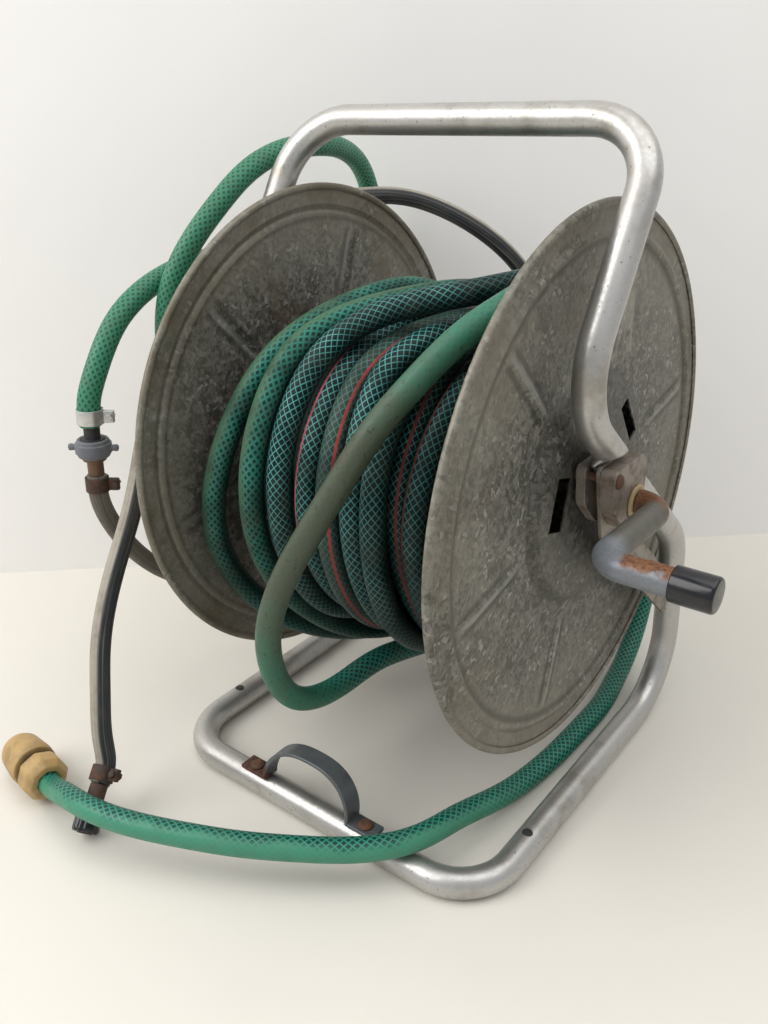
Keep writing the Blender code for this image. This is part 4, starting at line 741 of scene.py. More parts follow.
# One row a turn, each station as angle, place along the axle and radius
windingTable = [
    ((0, 107.5, 150), (25, 108, 144), (100, 109, 119), (170, 105, 125), (240, 104, 131), (330, 98, 126)),
    ((100, 98, 116), (170, 88, 125), (240, 87, 131), (330, 83, 125)),
    ((100, 84, 116), (170, 70, 127), (240, 74, 133), (330, 66, 125)),
    ((100, 66, 116), (130, 60, 124), (170, 51, 128), (240, 56, 137), (330, 50, 126)),
    ((100, 103, 133), (130, 62, 138), (170, 43, 138), (240, 38, 140), (330, 30, 127)),
    ((100, 46, 117), (130, 26, 136), (170, 24, 141), (240, 24, 141), (330, 14, 126)),
    ((100, 22, 117), (130, 8, 132), (170, 8, 142), (240, 12, 141), (330, -4, 126)),
    ((100, -6, 119), (130, -14, 130), (170, -20, 138), (240, -24, 138), (330, -34, 127)),
    ((100, -44, 130), (130, -68, 140), (170, -98, 148), (205, -109, 160), (240, -76, 171),
     (270, -32, 169), (300, 2, 166), (330, 20, 163)),
    ((60, 40, 126), (100, 8, 131), (115, -14, 138), (130, -38, 150), (170, -56, 157),
     (240, -46, 153), (330, 60, 146)),
    ((60, 88, 142), (100, 66, 147), (115, 22, 150), (130, -20, 150), (170, -38, 149),
     (240, -34, 146), (330, -34, 146)),
]


def windingPoints():
    # Angle, place and radius run smoothly from station to station
    rows = enumerate(windingTable)
    stations = np.array([(360 * turn + angle, *rest) for turn, row in rows for angle, *rest in row], float)
    stretch = 2.6
    line = smoothRoute(stations * (stretch, 1, 1), 3)
    degrees = np.arange(0, stations[-1, 0] + 0.001, 360 / hose["turnPoints"])
    place, radius = (np.interp(degrees * stretch, line[:, 0], line[:, k]) for k in (1, 2))
    return aroundAxle(place, radius, np.radians(degrees))


def filled(points, parts):
    share = (np.arange(parts) / parts)[None, :, None]
    inner = points[:-1, None] * (1 - share) + points[1:, None] * share
    return np.concatenate([inner.reshape(-1, 3), points[-1:]])


def settled(points, fixed):
    # Every step pushes each pair of hoses that press on each other apart by a share of what they lack
    parts = settle["parts"]
    need = hose["diameter"] + settle["turnGap"]
    share = (np.arange(parts) / parts)[None, :, None]
    lap = parts * hose["turnPoints"]
    points = points.copy()
    for _ in range(settle["steps"]):
        path = filled(points, parts)
        count = len(path)
        push = np.zeros_like(path)
        for offset in range(lap - settle["slack"], count):
            # Only points about a whole number of turns apart can touch
            if (offset + settle["slack"]) % lap > 2 * settle["slack"]:
                continue
            apart = path[offset:] - path[:-offset]
            distance = np.linalg.norm(apart, axis=1)
            move = apart * (np.clip(need - distance, 0, None) / 2 / np.maximum(distance, 1e-3))[:, None]
            push[offset:] += move
            push[:-offset] -= move
        apart = path[:, None] - fixed[None]
        distance = np.linalg.norm(apart, axis=2)
        row = np.arange(count)
        nearest = distance.argmin(axis=1)
        distance = distance[row, nearest]
        lacks = np.clip(need - distance, 0, None) / np.maximum(distance, 1e-3) * (row > 2 * parts)
        push += apart[row, nearest] * lacks[:, None]
        back = np.zeros_like(points)
        body = push[:-1].reshape(len(points) - 1, parts, 3)
        back[:-1] += (body * (1 - share)).sum(axis=1)
        back[1:] += (body * share).sum(axis=1)
        soft = back.copy()
        soft[1:-1] = 0.25 * back[:-2] + 0.5 * back[1:-1] + 0.25 * back[2:]
        soft[:2] = 0
        points += settle["rate"] * soft
        points[:, 0] = np.clip(points[:, 0], -hose["edge"], hose["edge"])
    return points


jointPlace = polar(hose["jointRadius"], hose["jointAngle"], hose["jointAcross"])
jointLine = polar(1, hose["jointAngle"] + 135, 0) - [0, 0, axleZ]
windingLaid = windingPoints()
windingStart = windingLaid[0]
startLine = unit(windingLaid[1] - windingStart)
unionLow = np.array([-220, -176.5, 246.0])
unionHigh = np.array([-219, -174, 288.0])
unionLine = unit(unionHigh - unionLow)
connectorLine = unit((-0.985, 0.16, -0.02))
tapLine = unit((0.30, -0.72, -0.62))
routes = {
    "looseTurn": [
        jointPlace, polar(170, 24, 107), polar(166, 40, 107), polar(166, 60, 108), polar(165, 82, 111),
        polar(164, 100, 112.5), polar(165, 112, 109), polar(167, 122.5, 101.5), (87.5, -106, 385.4),
        (78, -122, 369.9), (67, -140, 351.4), (52, -158, 324.4), (38, -172, 294.4), (23, -187, 261.4),
        (8, -196, 229.4), (-4, -201, 195.4), (-12, -196, 155.4), (-14, -179, 115.4), (-12, -138, 95.4),
        (-9, -100, 96.4), (-6, -60, 91.4), (2, -20, 84.4), (20, 22, 83.4), (48, 60, 93.9), (78, 90, 107.4),
        (98, 113, 125.4), (107.5, 131, 145.4), (108.5, 142.5, 172.4), (108.5, 149, 208.8), (107.5, 149.9, 246.4),
    ],
    "outletHose": [
        jointPlace, (107, 195.7, 264.7), (107, 200.4, 233.3), (107, 202, 205), (107, 204.5, 160), (107, 206, 115),
        (107, 203, 80), (108, 192, 50), (111, 170, 27), (115, 138, 14), (120, 105, 10), (124, 72, 9.7),
        (124, 35, 9.7), (123, -1, 9.7), (120, -35, 10), (117, -65, 12.7), (112, -100, 19.7), (104, -140, 28),
        (94, -178, 32.8), (66, -211, 34.5), (37, -232, 35.5), (6, -252, 37), (-26, -269, 38.5), (-61, -284.5, 39.5),
        (-100, -296.5, 39), (-128, -299.5, 37.5), (-146, -298.5, 34), (-168, -294.5, 26.5), (-198, -289.3, 20.3),
    ],
    "leaderUpper": [
        (-202, 180, 296), (-203, 183, 340), (-203, 182, 385), (-202, 174, 420), (-197, 155, 452), (-189, 122, 472),
        (-180, 85, 480), (-177, 45, 481), (-180, 3, 474), (-183, -33, 453), (-189, -64, 428), (-196, -82, 402),
        (-203, -92, 378), (-209, -97, 330), (-214, -84, 262), (-219, -37, 212), (-223, 20, 211), (-227, 66, 250),
        (-229, 80, 305), (-231, 57, 360), (-230, 12, 388), (-228, -36, 394), (-224, -80, 388), (-220, -120, 374),
        (-218, -151, 347), (-218, -168, 316), (-219, -174, 288),
    ],
    "leaderInlet": [
        (-220, -176.5, 246), (-220, -175, 213), (-219, -157, 172), (-214, -125, 133), (-205, -85, 114),
        (-196, -42, 119), (-188, -11, 148), (-185.5, 0, 180), (-185.5, 0, 208),
    ],
    "leaderTap": [
        (-141, -274, 31.5), (-148, -262, 52), (-153, -252, 92), (-168, -225, 155), (-184, -168, 232),
        (-189, -146, 275), (-187, -115, 326), (-181, -73, 372), (-176.5, -18, 402), (-178, 45, 420),
        (-183, 90, 430), (-181, 128, 432), (-167, 160, 430), (-143, 182, 423), (-111, 198, 407), (-85, 212, 388),
        (-61, 230, 357), (-45, 246, 315), (-42, 258, 265), (-55, 264, 210), (-95, 262, 160), (-145, 247, 146),
        (-182, 213, 165), (-200, 187, 200), (-202, 180, 240),
    ],
}
ends = {
    "looseTurn": ((jointPlace - jointLine * hose["overrun"], -jointLine), (windingStart - startLine * 0.3, startLine)),
    "outletHose": ((jointPlace + jointLine * hose["overrun"], jointLine), (routes["outletHose"][-1], connectorLine)),
    "leaderUpper": ((routes["leaderUpper"][0], -up), (unionHigh, -unionLine)),
    "leaderInlet": ((unionLow, unionLine), (routes["leaderInlet"][-1], up)),
    "leaderTap": ((routes["leaderTap"][0], tapLine), (routes["leaderTap"][-1], up)),
}
# Node, body, whether the exit is at the last point, what the far end is, and the pieces that go with the hose
cords = {
    "looseTurn": ("loose_turn", "reel", False, "object", []),
    "outletHose": (
        "outlet_hose", "stand", False, "connector",
        ["connectorNut", "connectorRing", "connectorBody", "connectorSleeve"],
    ),
    "leaderInlet": (
        "leader_hose_inlet", "stand", True, "fitting",
        ["unionTailLower", "unionNut", "lowerClamp", "lowerClampBolt"],
    ),
    "leaderUpper": (
        "leader_hose_upper", "stand", True, "fitting",
        ["unionTailUpper", "upperClamp", "upperClampBolt", "hoseJoiner"],
    ),
    "leaderTap": ("leader_hose_tap", "stand", True, "fitting", ["tapClamp", "tapClampBolt", "tapTail", "tapNut"]),
}
ribbedSkins = {"leaderInlet": "ribbedInletHose", "leaderTap": "ribbedTapHose"}
cordCorners = {}


def ribs(angle):
    # Fine lengthwise ribs: the section's radius falls by about a thirtieth between them
    return 0.965 + 0.035 * np.abs(np.cos(9 * angle)) ** 0.6


def trimmed(grid, side):
    # Near the joint, points past its radius slide back along the hose until they lie on it.
    # side is 1 for the hose inside the radius: |point + t * line| = edge is solved for t.
    edge = hose["jointRadius"] - side * hose["jointGap"] / 2
    flat = grid[..., 1:] - [0, axleZ]
    near = np.linalg.norm(grid - jointPlace, axis=-1) < hose["jointReach"]
    past = near & (side * (np.linalg.norm(flat, axis=-1) - edge) > 0)
    toward = flat @ jointLine[1:]
    excess = (flat**2).sum(axis=-1) - edge**2
    slide = np.where(past, -toward - np.sqrt(np.maximum(toward**2 - excess, 0)), 0)
    return grid + jointLine * slide[..., None]


def makeCords():
    for name, route in routes.items():
        node, body, *_ = cords[name]
        ribbed = name in ribbedSkins
        diameter = hose["ribbedDiameter" if ribbed else "diameter"]
        cordCorners[name] = cordPoints(route, diameter, *ends[name])
        path = smoothRoute(cordCorners[name], 5)
        if name == "looseTurn":
            length = walked(path) / 1000
            makeLooseSkin(float(length[path[:, 2].argmax()]), float(length[path[:, 1].argmin()]) + looseLook["drop"])
        trim = {"looseTurn": 1, "outletHose": -1}.get(name, 0)
        skin = ribbedSkins.get(name, name + "Skin")
        piece = sweep(name, path, diameter / 2, skin, 108 if ribbed else 28, ribs if ribbed else None, trim)
        if trim:
            # The hose's own line starts where the slanted end does
            short = (path[:8] - jointPlace) @ jointLine * trim < -hose["diameter"] / 2
            path = path[short.sum():]
        put(piece, body, node)
        print(name, round(walked(path)[-1] / 1000, 3), "m")


makeCamera()
makeCords()


# The wound hose

winding = {
    "turns": 11, "points": 60, "first": 108, "pitch": 19.6, "top": 116.0, "low": 98.6, "gap": 0.4,
    "bareAt": -45, "bareWidth": 30,
}


def underPath(outer):
    # The layer below: a helix that sinks wherever the outer layer would press on it.
    # It stays low near the far flange, where nothing lies over it at the top.
    w = winding
    turn = np.arange(0, w["turns"] * w["points"] + 1) / w["points"]
    place = w["first"] - turn * w["pitch"]
    radius = w["low"] + (w["top"] - w["low"]) * np.clip((place - w["bareAt"]) / w["bareWidth"], 0, 1)
    angle = math.tau * turn
    for _ in range(18):
        points = aroundAxle(place, radius, angle)
        distance = np.linalg.norm(points[:, None] - outer[None], axis=2).min(axis=1)
        radius = np.maximum(np.where(distance < hose["diameter"] + w["gap"], radius - 1, radius), w["low"])
    kernel = np.array([1, 2, 3, 2, 1]) / 9
    radius = np.convolve(np.pad(radius, 2, mode="edge"), kernel, mode="valid")
    return aroundAxle(place, radius, angle)


def makeWinding():
    outer = smoothRoute(settled(windingLaid, filled(cordCorners["looseTurn"], 6)), 4)
    length = walked(outer) / 1000
    turns = np.unwrap(np.arctan2(outer[:, 2] - axleZ, outer[:, 1])) / math.tau
    makeWindingSkin(lambda turn: float(np.interp(turn, turns, length)))
    put(sweep("hoseWinding", outer, hose["diameter"] / 2, "windingSkin", 24, wound=True), "reel", "hose_winding")
    print("hoseWinding", round(length[-1], 3), "m")
    # The layer below wears a nearly black finish, painted shade seen between the outer turns
    under = smoothRoute(underPath(outer[::2]), 6)
    put(sweep("innerTurns", under, hose["diameter"] / 2, "innerTurns", 16), "reel", "hose_core")


makeWinding()
print("hoses ready")


# The frame tube

tubeFrame = {
    "radius": 11.1, "rail": 153.4, "floorLine": 10.4, "topBar": (26, 503), "knee": (-74, 344), "heel": (130, 167),
    "rear": 140, "front": -178.6, "radii": (50, 56, 56, 60, 45), "pressedThickness": 7, "pressedSet": 4,
    "pressedPower": 0.55, "spread": 1.42, "rimHeight": 293, "rimBlend": 2.4, "seatReach": 14, "seatTop": -75,
    "fadeStart": 62, "fadeEnd": 104, "holeY": -110, "sides": 40,
}


def arcCorner(before, corner, after, radius, step=4):
    # A circular fillet between two straight runs
    back, ahead = unit(before - corner), unit(after - corner)
    half = math.acos(np.clip(back.dot(ahead), -1, 1)) / 2
    centre = corner + unit(back + ahead) * radius / math.sin(half)
    start, end = (corner + run * radius / math.tan(half) - centre for run in (back, ahead))
    sweepAngle = math.pi - 2 * half
    share = np.linspace(0, 1, max(3, round(math.degrees(sweepAngle) / step)))[:, None]
    turn = start * np.sin((1 - share) * sweepAngle) + end * np.sin(share * sweepAngle)
    return centre + turn / math.sin(sweepAngle)


def framePath():
    t = tubeFrame
    corners = np.array([
        (0, *t["topBar"]), (t["rail"], *t["topBar"]), (t["rail"], *t["knee"]), (t["rail"], *t["heel"]),
        (t["rail"], t["rear"], t["floorLine"]), (t["rail"], t["front"], t["floorLine"]),
        (0, t["front"], t["floorLine"]),
    ], float)
    bends = [arcCorner(*corners[i:i + 3], radius) for i, radius in enumerate(t["radii"])]
    points = np.concatenate([corners[:1], *bends, corners[-1:]])
    # Straight runs get a station every millimetre where the tube is pressed, and every 20 mm elsewhere
    stations = [points[:1]]
    for start, end in zip(points[:-1], points[1:]):
        pressed = abs(start[1] - end[1]) > 60 and 160 < min(start[2], end[2]) < 300
        count = max(1, round(np.linalg.norm(end - start) / (1 if pressed else 20)))
        stations.append(start + (end - start) * (np.arange(1, count + 1) / count)[:, None])
    right = np.concatenate(stations)
    left = right[::-1][1:-1] * [-1, 1, 1]
    return np.concatenate([right, left]), corners


def pressSeat(grid, corners):
    # Below the rim's height the tube is pressed flat on the sloping run, and swells back further down
    t = tubeFrame
    knee, heel = corners[2], corners[3]
    run = unit(heel - knee)
    foot = knee + run * (np.array([t["rail"], 0, axleZ]) - knee).dot(run)
    upper = np.array([0, -run[2], run[1]])
    side = np.sign(grid[..., 0])
    across = np.abs(grid[..., 0]) - t["rail"]
    offset = (grid - foot) * [0, 1, 1]
    lift, along = offset @ upper, offset @ run
    near = (np.abs(across) < t["seatReach"]) & (np.abs(lift) < t["seatReach"])
    near &= (along > t["seatTop"]) & (along < t["fadeEnd"])
    rim = np.clip((t["rimHeight"] + t["rimBlend"] / 2 - grid[..., 2]) / t["rimBlend"], 0, 1)
    fade = np.clip((t["fadeEnd"] - along) / (t["fadeEnd"] - t["fadeStart"]), 0, 1)
    share = np.where(near, (rim**2 * (3 - 2 * rim)) * (fade**2 * (3 - 2 * fade)), 0)
    slab = np.sign(across) * (np.abs(across) / t["radius"]) ** t["pressedPower"] * t["pressedThickness"] / 2
    made = grid.copy()
    made[..., 0] = side * (t["rail"] + across + (slab - t["pressedSet"] - across) * share)
    made += upper * (lift * (t["spread"] - 1) * share)[..., None]
    return made


def makeFrame():
    t = tubeFrame
    path, corners = framePath()
    closed = np.concatenate([path[-1:], path, path[:1]])
    tangents = closed[2:] - closed[:-2]
    tangents /= np.linalg.norm(tangents, axis=1)[:, None]
    normals, binormals = carried(tangents, np.array([0, 0.6, 0.8]))
    angle = np.linspace(0, math.tau, t["sides"], endpoint=False)
    grid = pressSeat(path[:, None] + rings(normals, binormals, angle) * t["radius"], corners)
    grid[..., 2] = np.maximum(grid[..., 2], 0.05)
    # The loop closes on its first ring, turned by whole facets to take up the carried twist
    turns = [np.roll(grid[0], -k, axis=0) for k in range(t["sides"])]
    misses = [np.linalg.norm(ring - grid[-1] - (path[0] - path[-1]), axis=1).sum() for ring in turns]
    grid = np.concatenate([grid, turns[int(np.argmin(misses))][None]])
    put(gridMesh("frameTube", grid, "weatheredAluminium", closedAround=True, smoothAngle=70), "stand", "frame_tube")
    # Each rail hole is a dark disc on top of the tube: painted shade for the dark inside of the hole
    outline = [(0.5, 0), (0.35, 2.1), (0.1, 3.9), (-1.2, 4.3), (-1.2, 0)]
    for side, label in ((1, "Right"), (-1, "Left")):
        centre = (side * t["rail"], t["holeY"], t["floorLine"] + t["radius"])
        turned(
            "railHole" + label, None, outline, centre, up, "dullBlackPlastic",
            slot="rusty_steel", sides=24, rounding=0.3,
        )


makeFrame()

# The hoop on the front bar

hoop = {"left": -60, "right": 54, "crest": 67, "lean": 9, "width": 15, "thickness": 3, "foot": 24}


def makeHoop():
    h = hoop
    base = tubeFrame["floorLine"] + tubeFrame["radius"] + 0.3
    middle, span = (h["left"] + h["right"]) / 2, (h["right"] - h["left"]) / 2
    arch = span - h["foot"] / 2 - h["thickness"]
    rise = h["crest"] - base - h["thickness"]
    angle = np.linspace(0, math.pi / 2, 30)
    lines = []
    for lift in (h["thickness"], 0):
        line = np.stack([(arch + lift) * np.cos(angle) ** 0.8, lift + rise * np.sin(angle)], axis=1)
        line = np.concatenate([[(span + h["foot"] / 2, lift)], line])
        line = np.concatenate([line, (line[::-1] * [-1, 1])[1:]])
        line[:, 0] += h["lean"] * np.clip(line[:, 1] - h["thickness"], 0, None) / rise
        lines.append(line)
    rows = []
    for line, depth in ((lines[0], -0.5), (lines[0], 0.5), (lines[1], 0.5), (lines[1], -0.5)):
        across = np.full(len(line), tubeFrame["front"] + depth * h["width"])
        rows.append(np.stack([middle + line[:, 0], across, base + line[:, 1]], axis=1))
    grid = np.stack(rows, axis=1)
    first, last = (np.repeat(grid[at].mean(axis=0)[None], 4, axis=0) for at in (0, -1))
    piece = gridMesh("hoopStrip", np.stack([first, *grid, last]), "hoopPaint", closedAround=True, smoothAngle=30)
    bevel(piece, 0.7, 2, 50)
    put(piece, "stand", "hoop_strip")
    outline = [(3, 0), (3, 3.2), (1.4, 5.8), (0, 6), (0, 2.4), (-9, 2.4), (-9, 0)]
    for key in ("left", "right"):
        centre = (h[key], tubeFrame["front"], base + h["thickness"] + 0.3)
        turned("hoopScrew" + key.title(), "hoop_screw_" + key, outline, centre, up, "rustedSteel", sides=24)


makeHoop()
print("frame ready")


# Flanges and drum

flange = {
    "place": 129.2, "radius": 203.2, "sheet": 1.5, "dish": 5, "dishRadius": 80, "rim": 3, "bead": 182, "beadWidth": 4.5,
    "beadHeight": 2.5, "ribs": 6, "ribStart": 98, "ribEnd": 172, "ribWidth": 5, "ribHeight": 2.4, "firstRib": 12,
    "facets": 360, "slope": 0.8,
    # Radius, angle, size and tilt of each slot
    "slots": ((50.5, 172, (20, 39), -17), (67, 35, (12, 38), 33)),
}


def sheetHeight(radius, angle):
    # How far the sheet stands out: a dished middle, a ring bead and pressed radial ribs
    f = flange
    dish = f["dish"] * np.clip((f["dishRadius"] + 7 - radius) / 7, 0, 1)
    bead = f["beadHeight"] * np.clip(1 - np.abs(radius - f["bead"]) / f["beadWidth"], 0, 1) ** f["slope"]
    step = math.tau / f["ribs"]
    distance = np.abs(np.mod(angle - math.radians(f["firstRib"]) + step / 2, step) - step / 2) * radius
    lengthwise = np.clip((radius - f["ribStart"]) / 12, 0, 1) * np.clip((f["ribEnd"] - radius) / 12, 0, 1)
    taper = f["ribWidth"] * (0.7 + 0.5 * (radius - f["ribStart"]) / (f["ribEnd"] - f["ribStart"]))
    rib = f["ribHeight"] * np.clip(1 - distance / np.maximum(taper, 1), 0, 1) ** f["slope"] * lengthwise
    return dish + bead + rib


def makeFlange(side, label):
    f = flange
    rim = f["radius"] - f["rim"]
    runs = ((8.3, 78, 12), (79.5, 88.5, 10), (92, 174, 42), (176.5, 188, 16), (190, rim - 2, 6))
    radii = np.concatenate([np.linspace(*run) for run in runs])
    angle = np.linspace(0, math.tau, f["facets"], endpoint=False)
    height = sheetHeight(radii[:, None], angle)
    front, back = height + f["sheet"] / 2, height - f["sheet"] / 2
    rollAngle = np.radians(np.linspace(145, -145, 14))
    rollHeight = np.repeat((f["rim"] * np.sin(rollAngle))[:, None], f["facets"], axis=1)
    radii = np.concatenate([radii, rim + f["rim"] * np.cos(rollAngle), radii[::-1], radii[:1]])[:, None]
    heights = np.concatenate([front, rollHeight, back[::-1], front[:1]])
    # The rim waves a little, as thin sheet does
    wobble = 0.25 * np.sin(angle * 3 + 0.7) + 0.15 * np.sin(angle * 7 + 2)
    heights = heights + wobble * (radii / f["radius"]) ** 3
    grid = aroundAxle(side * (f["place"] + heights), radii, angle)
    piece = gridMesh("flange" + label, grid, "zincSheet" + label, closedAround=True, smoothAngle=50)
    for number, (radius, degrees, size, tilt) in enumerate(f["slots"]):
        cutSlot(piece, polar(radius, degrees, side * f["place"]), size, math.radians(tilt), f"slot{label}{number}")
    put(piece, "reel", "flange_" + label.lower())


def cutSlot(piece, middle, size, tilt, name):
    scale = Matrix.Diagonal((0.04, size[0] / 1000, size[1] / 1000, 1))
    place = Matrix.Translation(toFrame(middle).tolist()) @ Matrix.Rotation(tilt, 4, "X") @ scale
    mesh = bpy.data.meshes.new(name)
    reshape(mesh, lambda shape: bmesh.ops.create_cube(shape, size=1, matrix=place))
    cutter = addObject(name, mesh)
    modifier = piece.modifiers.new(name, "BOOLEAN")
    modifier.operation = "DIFFERENCE"
    modifier.solver = "EXACT"
    modifier.object = cutter
    bpy.context.view_layer.update()
    cut = bpy.data.meshes.new_from_object(piece.evaluated_get(bpy.context.evaluated_depsgraph_get()))
    piece.modifiers.clear()
    piece.data = cut
    bpy.data.objects.remove(cutter, do_unlink=True)


def dress(node, material):
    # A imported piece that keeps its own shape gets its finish
    piece = frame["nodes"][node]
    if not piece.material_slots:
        piece.data.materials.append(materials[material])
    for place in piece.material_slots:
        place.material = materials[material]


makeFlange(1, "Right")
makeFlange(-1, "Left")
dress("drum_barrel", "zincSheetLeft")
for node in ("axle", "hub_collar_right", "hub_collar_left"):
    dress(node, "axleSteel")
print("reel ready")


# Bearings

bearing = {
    "castingOuter": 167.5, "bushOuter": 170.2, "backing": 138.6, "bushBore": 8.3, "bushRadius": 10.5, "bushRim": 12.5,
}


def makeBearings():
    b = bearing
    shoulder = b["castingOuter"] + 0.3
    bush = [
        (b["bushOuter"], b["bushBore"]), (b["bushOuter"], b["bushRim"]), (shoulder, b["bushRim"]),
        (shoulder, b["bushRadius"]), (b["backing"], b["bushRadius"]), (b["backing"], b["bushBore"]),
    ]
    for side, label in ((1, "right"), (-1, "left")):
        easedCasting("bracket_plate_" + label, 0.5)
        easedCasting("bearing_block_" + label, 1.6, 3)
        easedCasting("backing_block_" + label, 1.0)
        line = (side, 0, 0)
        turned("axleBush" + label.title(), "axle_bush_" + label, bush, (0, 0, axleZ), line, "agedNylon", rounding=0.5)
        for row in ("upper", "lower"):
            node = f"rivet_{row}_{label}"
            low, high = (np.array(corner) * 1000 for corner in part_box(node))
            _, depth, height = (low + high) / 2
            inward, out = sorted((abs(low[0] - originX), abs(high[0] - originX)))
            rivet = [
                (out, 0), (out - 0.3, 2.6), (out - 1.2, 4.6), (out - 2.6, 5.5), (out - 2.6, 3),
                (inward + 1.6, 3), (inward + 1.6, 5.5), (inward, 5), (inward, 0),
            ]
            name = f"rivet{row.title()}{label.title()}"
            turned(name, node, rivet, (0, depth, height), line, "rustedSteel", sides=32, rounding=0.4)


makeBearings()

# Crank

crank = {
    "start": 170.5, "arm": 188, "reach": 100, "end": 260, "radius": 9.5, "elbow": 16, "angle": 178.5,
    "capEnd": 262.8, "capRadius": 11.5, "capBore": 9.8, "capLength": 27, "capWall": 2.5,
}


def makeCrank():
    c = crank
    grip = polar(c["reach"], c["angle"], 0)
    corners = np.array([
        (c["start"], 0, axleZ), (c["arm"], 0, axleZ), (c["arm"], *grip[1:]), (c["end"], *grip[1:]),
    ])
    bends = [arcCorner(*corners[i:i + 3], c["elbow"], 6) for i in (0, 1)]
    path = evenly(np.concatenate([corners[:1], *bends, corners[3:]]), 110)
    put(sweep("crankTube", path, c["radius"], "crankPaint", 40), "reel", "crank")
    end, radius, bore, wall = c["capEnd"], c["capRadius"], c["capBore"], c["capWall"]
    outline = [
        (end, 0), (end, radius - 1), (end - 1.5, radius), (end - c["capLength"], radius),
        (end - c["capLength"], bore), (end - wall, bore), (end - wall, 0),
    ]
    turned("gripCap", "grip_cap", outline, grip, (1, 0, 0), "blackPlastic", "reel", rounding=1.6)


makeCrank()
print("crank ready")


# Fittings on the hoses


def flats(count, share):
    # The radius of a rounded polygon at each angle
    return lambda angle: share / np.cos(np.mod(angle, math.tau / count) - math.pi / count)


def clampBand(name, node, tip, out, hoseRadius, lugLine, material):
    # A band with a lug, and the bolt that draws the lug together
    out = unit(out)
    centre = np.array(tip) - out * 8
    inner = hoseRadius + 0.39
    outer = inner + 1.2
    band = revolve(name, [(6, inner), (6, outer), (-6, outer), (-6, inner)], centre, out, material, rounding=0.4)
    side = unit(np.array(lugLine, float) - out * np.dot(lugLine, out))
    across = np.cross(out, side)
    lug = slab(name + "Lug", centre + side * (outer + 4), (side, across, out), (9, 5, 9.6), material)
    put(join(name, [band, lug]), "stand", node)
    bolt = [(5.4, 0), (5.4, 3), (2.8, 3), (2.8, 1.8), (-2.8, 1.8), (-2.8, 3), (-4.6, 3), (-4.6, 0)]
    place = centre + side * (outer + 5.22)
    shape = {"sides": 24, "rounding": 0.3, "reach": flats(6, 0.93)}
    turned(name + "Bolt", node + "_bolt", bolt, place, across, material, **shape)


def slab(name, centre, axes, size, material):
    # A box with rounded edges: each side is a superellipse section carried along the longest axis
    angle = np.linspace(0, math.tau, 32, endpoint=False)
    width, depth = (
        np.sign(wave) * np.abs(wave) ** 0.35 * length / 2
        for wave, length in ((np.cos(angle), size[0]), (np.sin(angle), size[1]))
    )
    section = width[:, None] * axes[0] + depth[:, None] * axes[1]
    levels = ((-0.5, 0), (-0.5, 0.9), (-0.46, 1), (0.46, 1), (0.5, 0.9), (0.5, 0))
    rows = [centre + axes[2] * height * size[2] + scale * section for height, scale in levels]
    return gridMesh(name, np.array(rows), material, closedAround=True)


# Outlines of the union: the upper and lower tails, the nut and one of its wings
union = {
    "lug": (0.78, 0.62, 0), "split": 0.56,
    "nut": [
        (7.5, 9.95), (7.5, 12), (6.4, 12.9), (4.4, 13), (4.1, 14.5), (-4.1, 14.5), (-4.4, 13), (-6.4, 12.9),
        (-7.5, 12), (-7.5, 9.95),
    ],
    "wing": [(20, 0), (20, 2.4), (18.6, 3), (16, 2.6), (11, 3), (11, 0)],
}


def makeUnion():
    span = np.linalg.norm(unionHigh - unionLow)
    middle = unionLow + unionLine * span * union["split"]
    top, low = span * (1 - union["split"]) - 0.3, 0.3 - span * union["split"]
    upper = [(top, 4), (top, 6.5), (7.8, 6.5), (7.8, 9.5), (3.5, 9.5), (3.5, 4)]
    lower = [(3.2, 4), (3.2, 9.5), (-10.5, 9.5), (-10.5, 6.5), (low, 6.5), (low, 4)]
    turned("unionTailUpper", "union_tail_upper", upper, middle, unionLine, "dullBlackPlastic")
    turned("unionTailLower", "union_tail_lower", lower, middle, unionLine, "brownBrass")
    pieces = [revolve("unionNut", union["nut"], middle, unionLine, "greyPlastic", 64, 0.8)]
    lug = union["lug"]
    wing = unit(lug - unionLine * np.dot(lug, unionLine))
    for number, side in enumerate((-1, 1)):
        pieces.append(revolve(f"wing{number}", union["wing"], middle, wing * side, "greyPlastic", 24))
    put(join("unionNut", pieces), "union_nut", "union_wing_nut")
    clampBand("upperClamp", "union_clamp_upper", unionHigh, -unionLine, 9.25, lug, "clampSteel")
    clampBand("lowerClamp", "union_clamp_lower", unionLow, unionLine, 8, lug, "darkRustedSteel")


def makeTapEnd():
    tip = np.array(routes["leaderTap"][0], float)
    clampBand("tapClamp", "tap_clamp", tip, tapLine, 8, (1, 0.2, 0.3), "darkRustedSteel")
    tail = [(38, 4.5), (38, 6), (23, 6), (23, 8.2), (20, 8.2), (20, 7), (0.3, 7), (0.3, 4.5)]
    turned("tapTail", "tap_tail", tail, tip, tapLine, "darkRustedSteel", sides=40)
    nut = [(37.3, 6.6), (37.3, 9.5), (35.3, 10.5), (24.3, 10.5), (23.3, 9.5), (23.3, 6.6)]
    grooves = lambda angle: 0.97 + 0.03 * np.cos(12 * angle)
    turned("tapNut", "tap_nut", nut, tip, tapLine, "blackPlastic", sides=96, reach=grooves)


def makeJoiner():
    # The joiner reaches from the tap leader's end to the green hose's
    low, span = np.array(routes["leaderTap"][-1], float), 56.0
    half = [(span / 2 - 0.3, 4.5), (span / 2 - 0.3, 6.5), (4, 7.5), (2, 10.5)]
    outline = [(span / 2 + height, radius) for height, radius in half]
    outline += [(span / 2 - height, radius) for height, radius in half[::-1]]
    turned("hoseJoiner", "hose_joiner", outline, low, up, "dullBlackPlastic", sides=40)


connector = {"radius": 19, "bore": 12, "nut": 21, "gap": 6, "sleeve": 35, "overlap": 10, "hoseHole": 9.6}


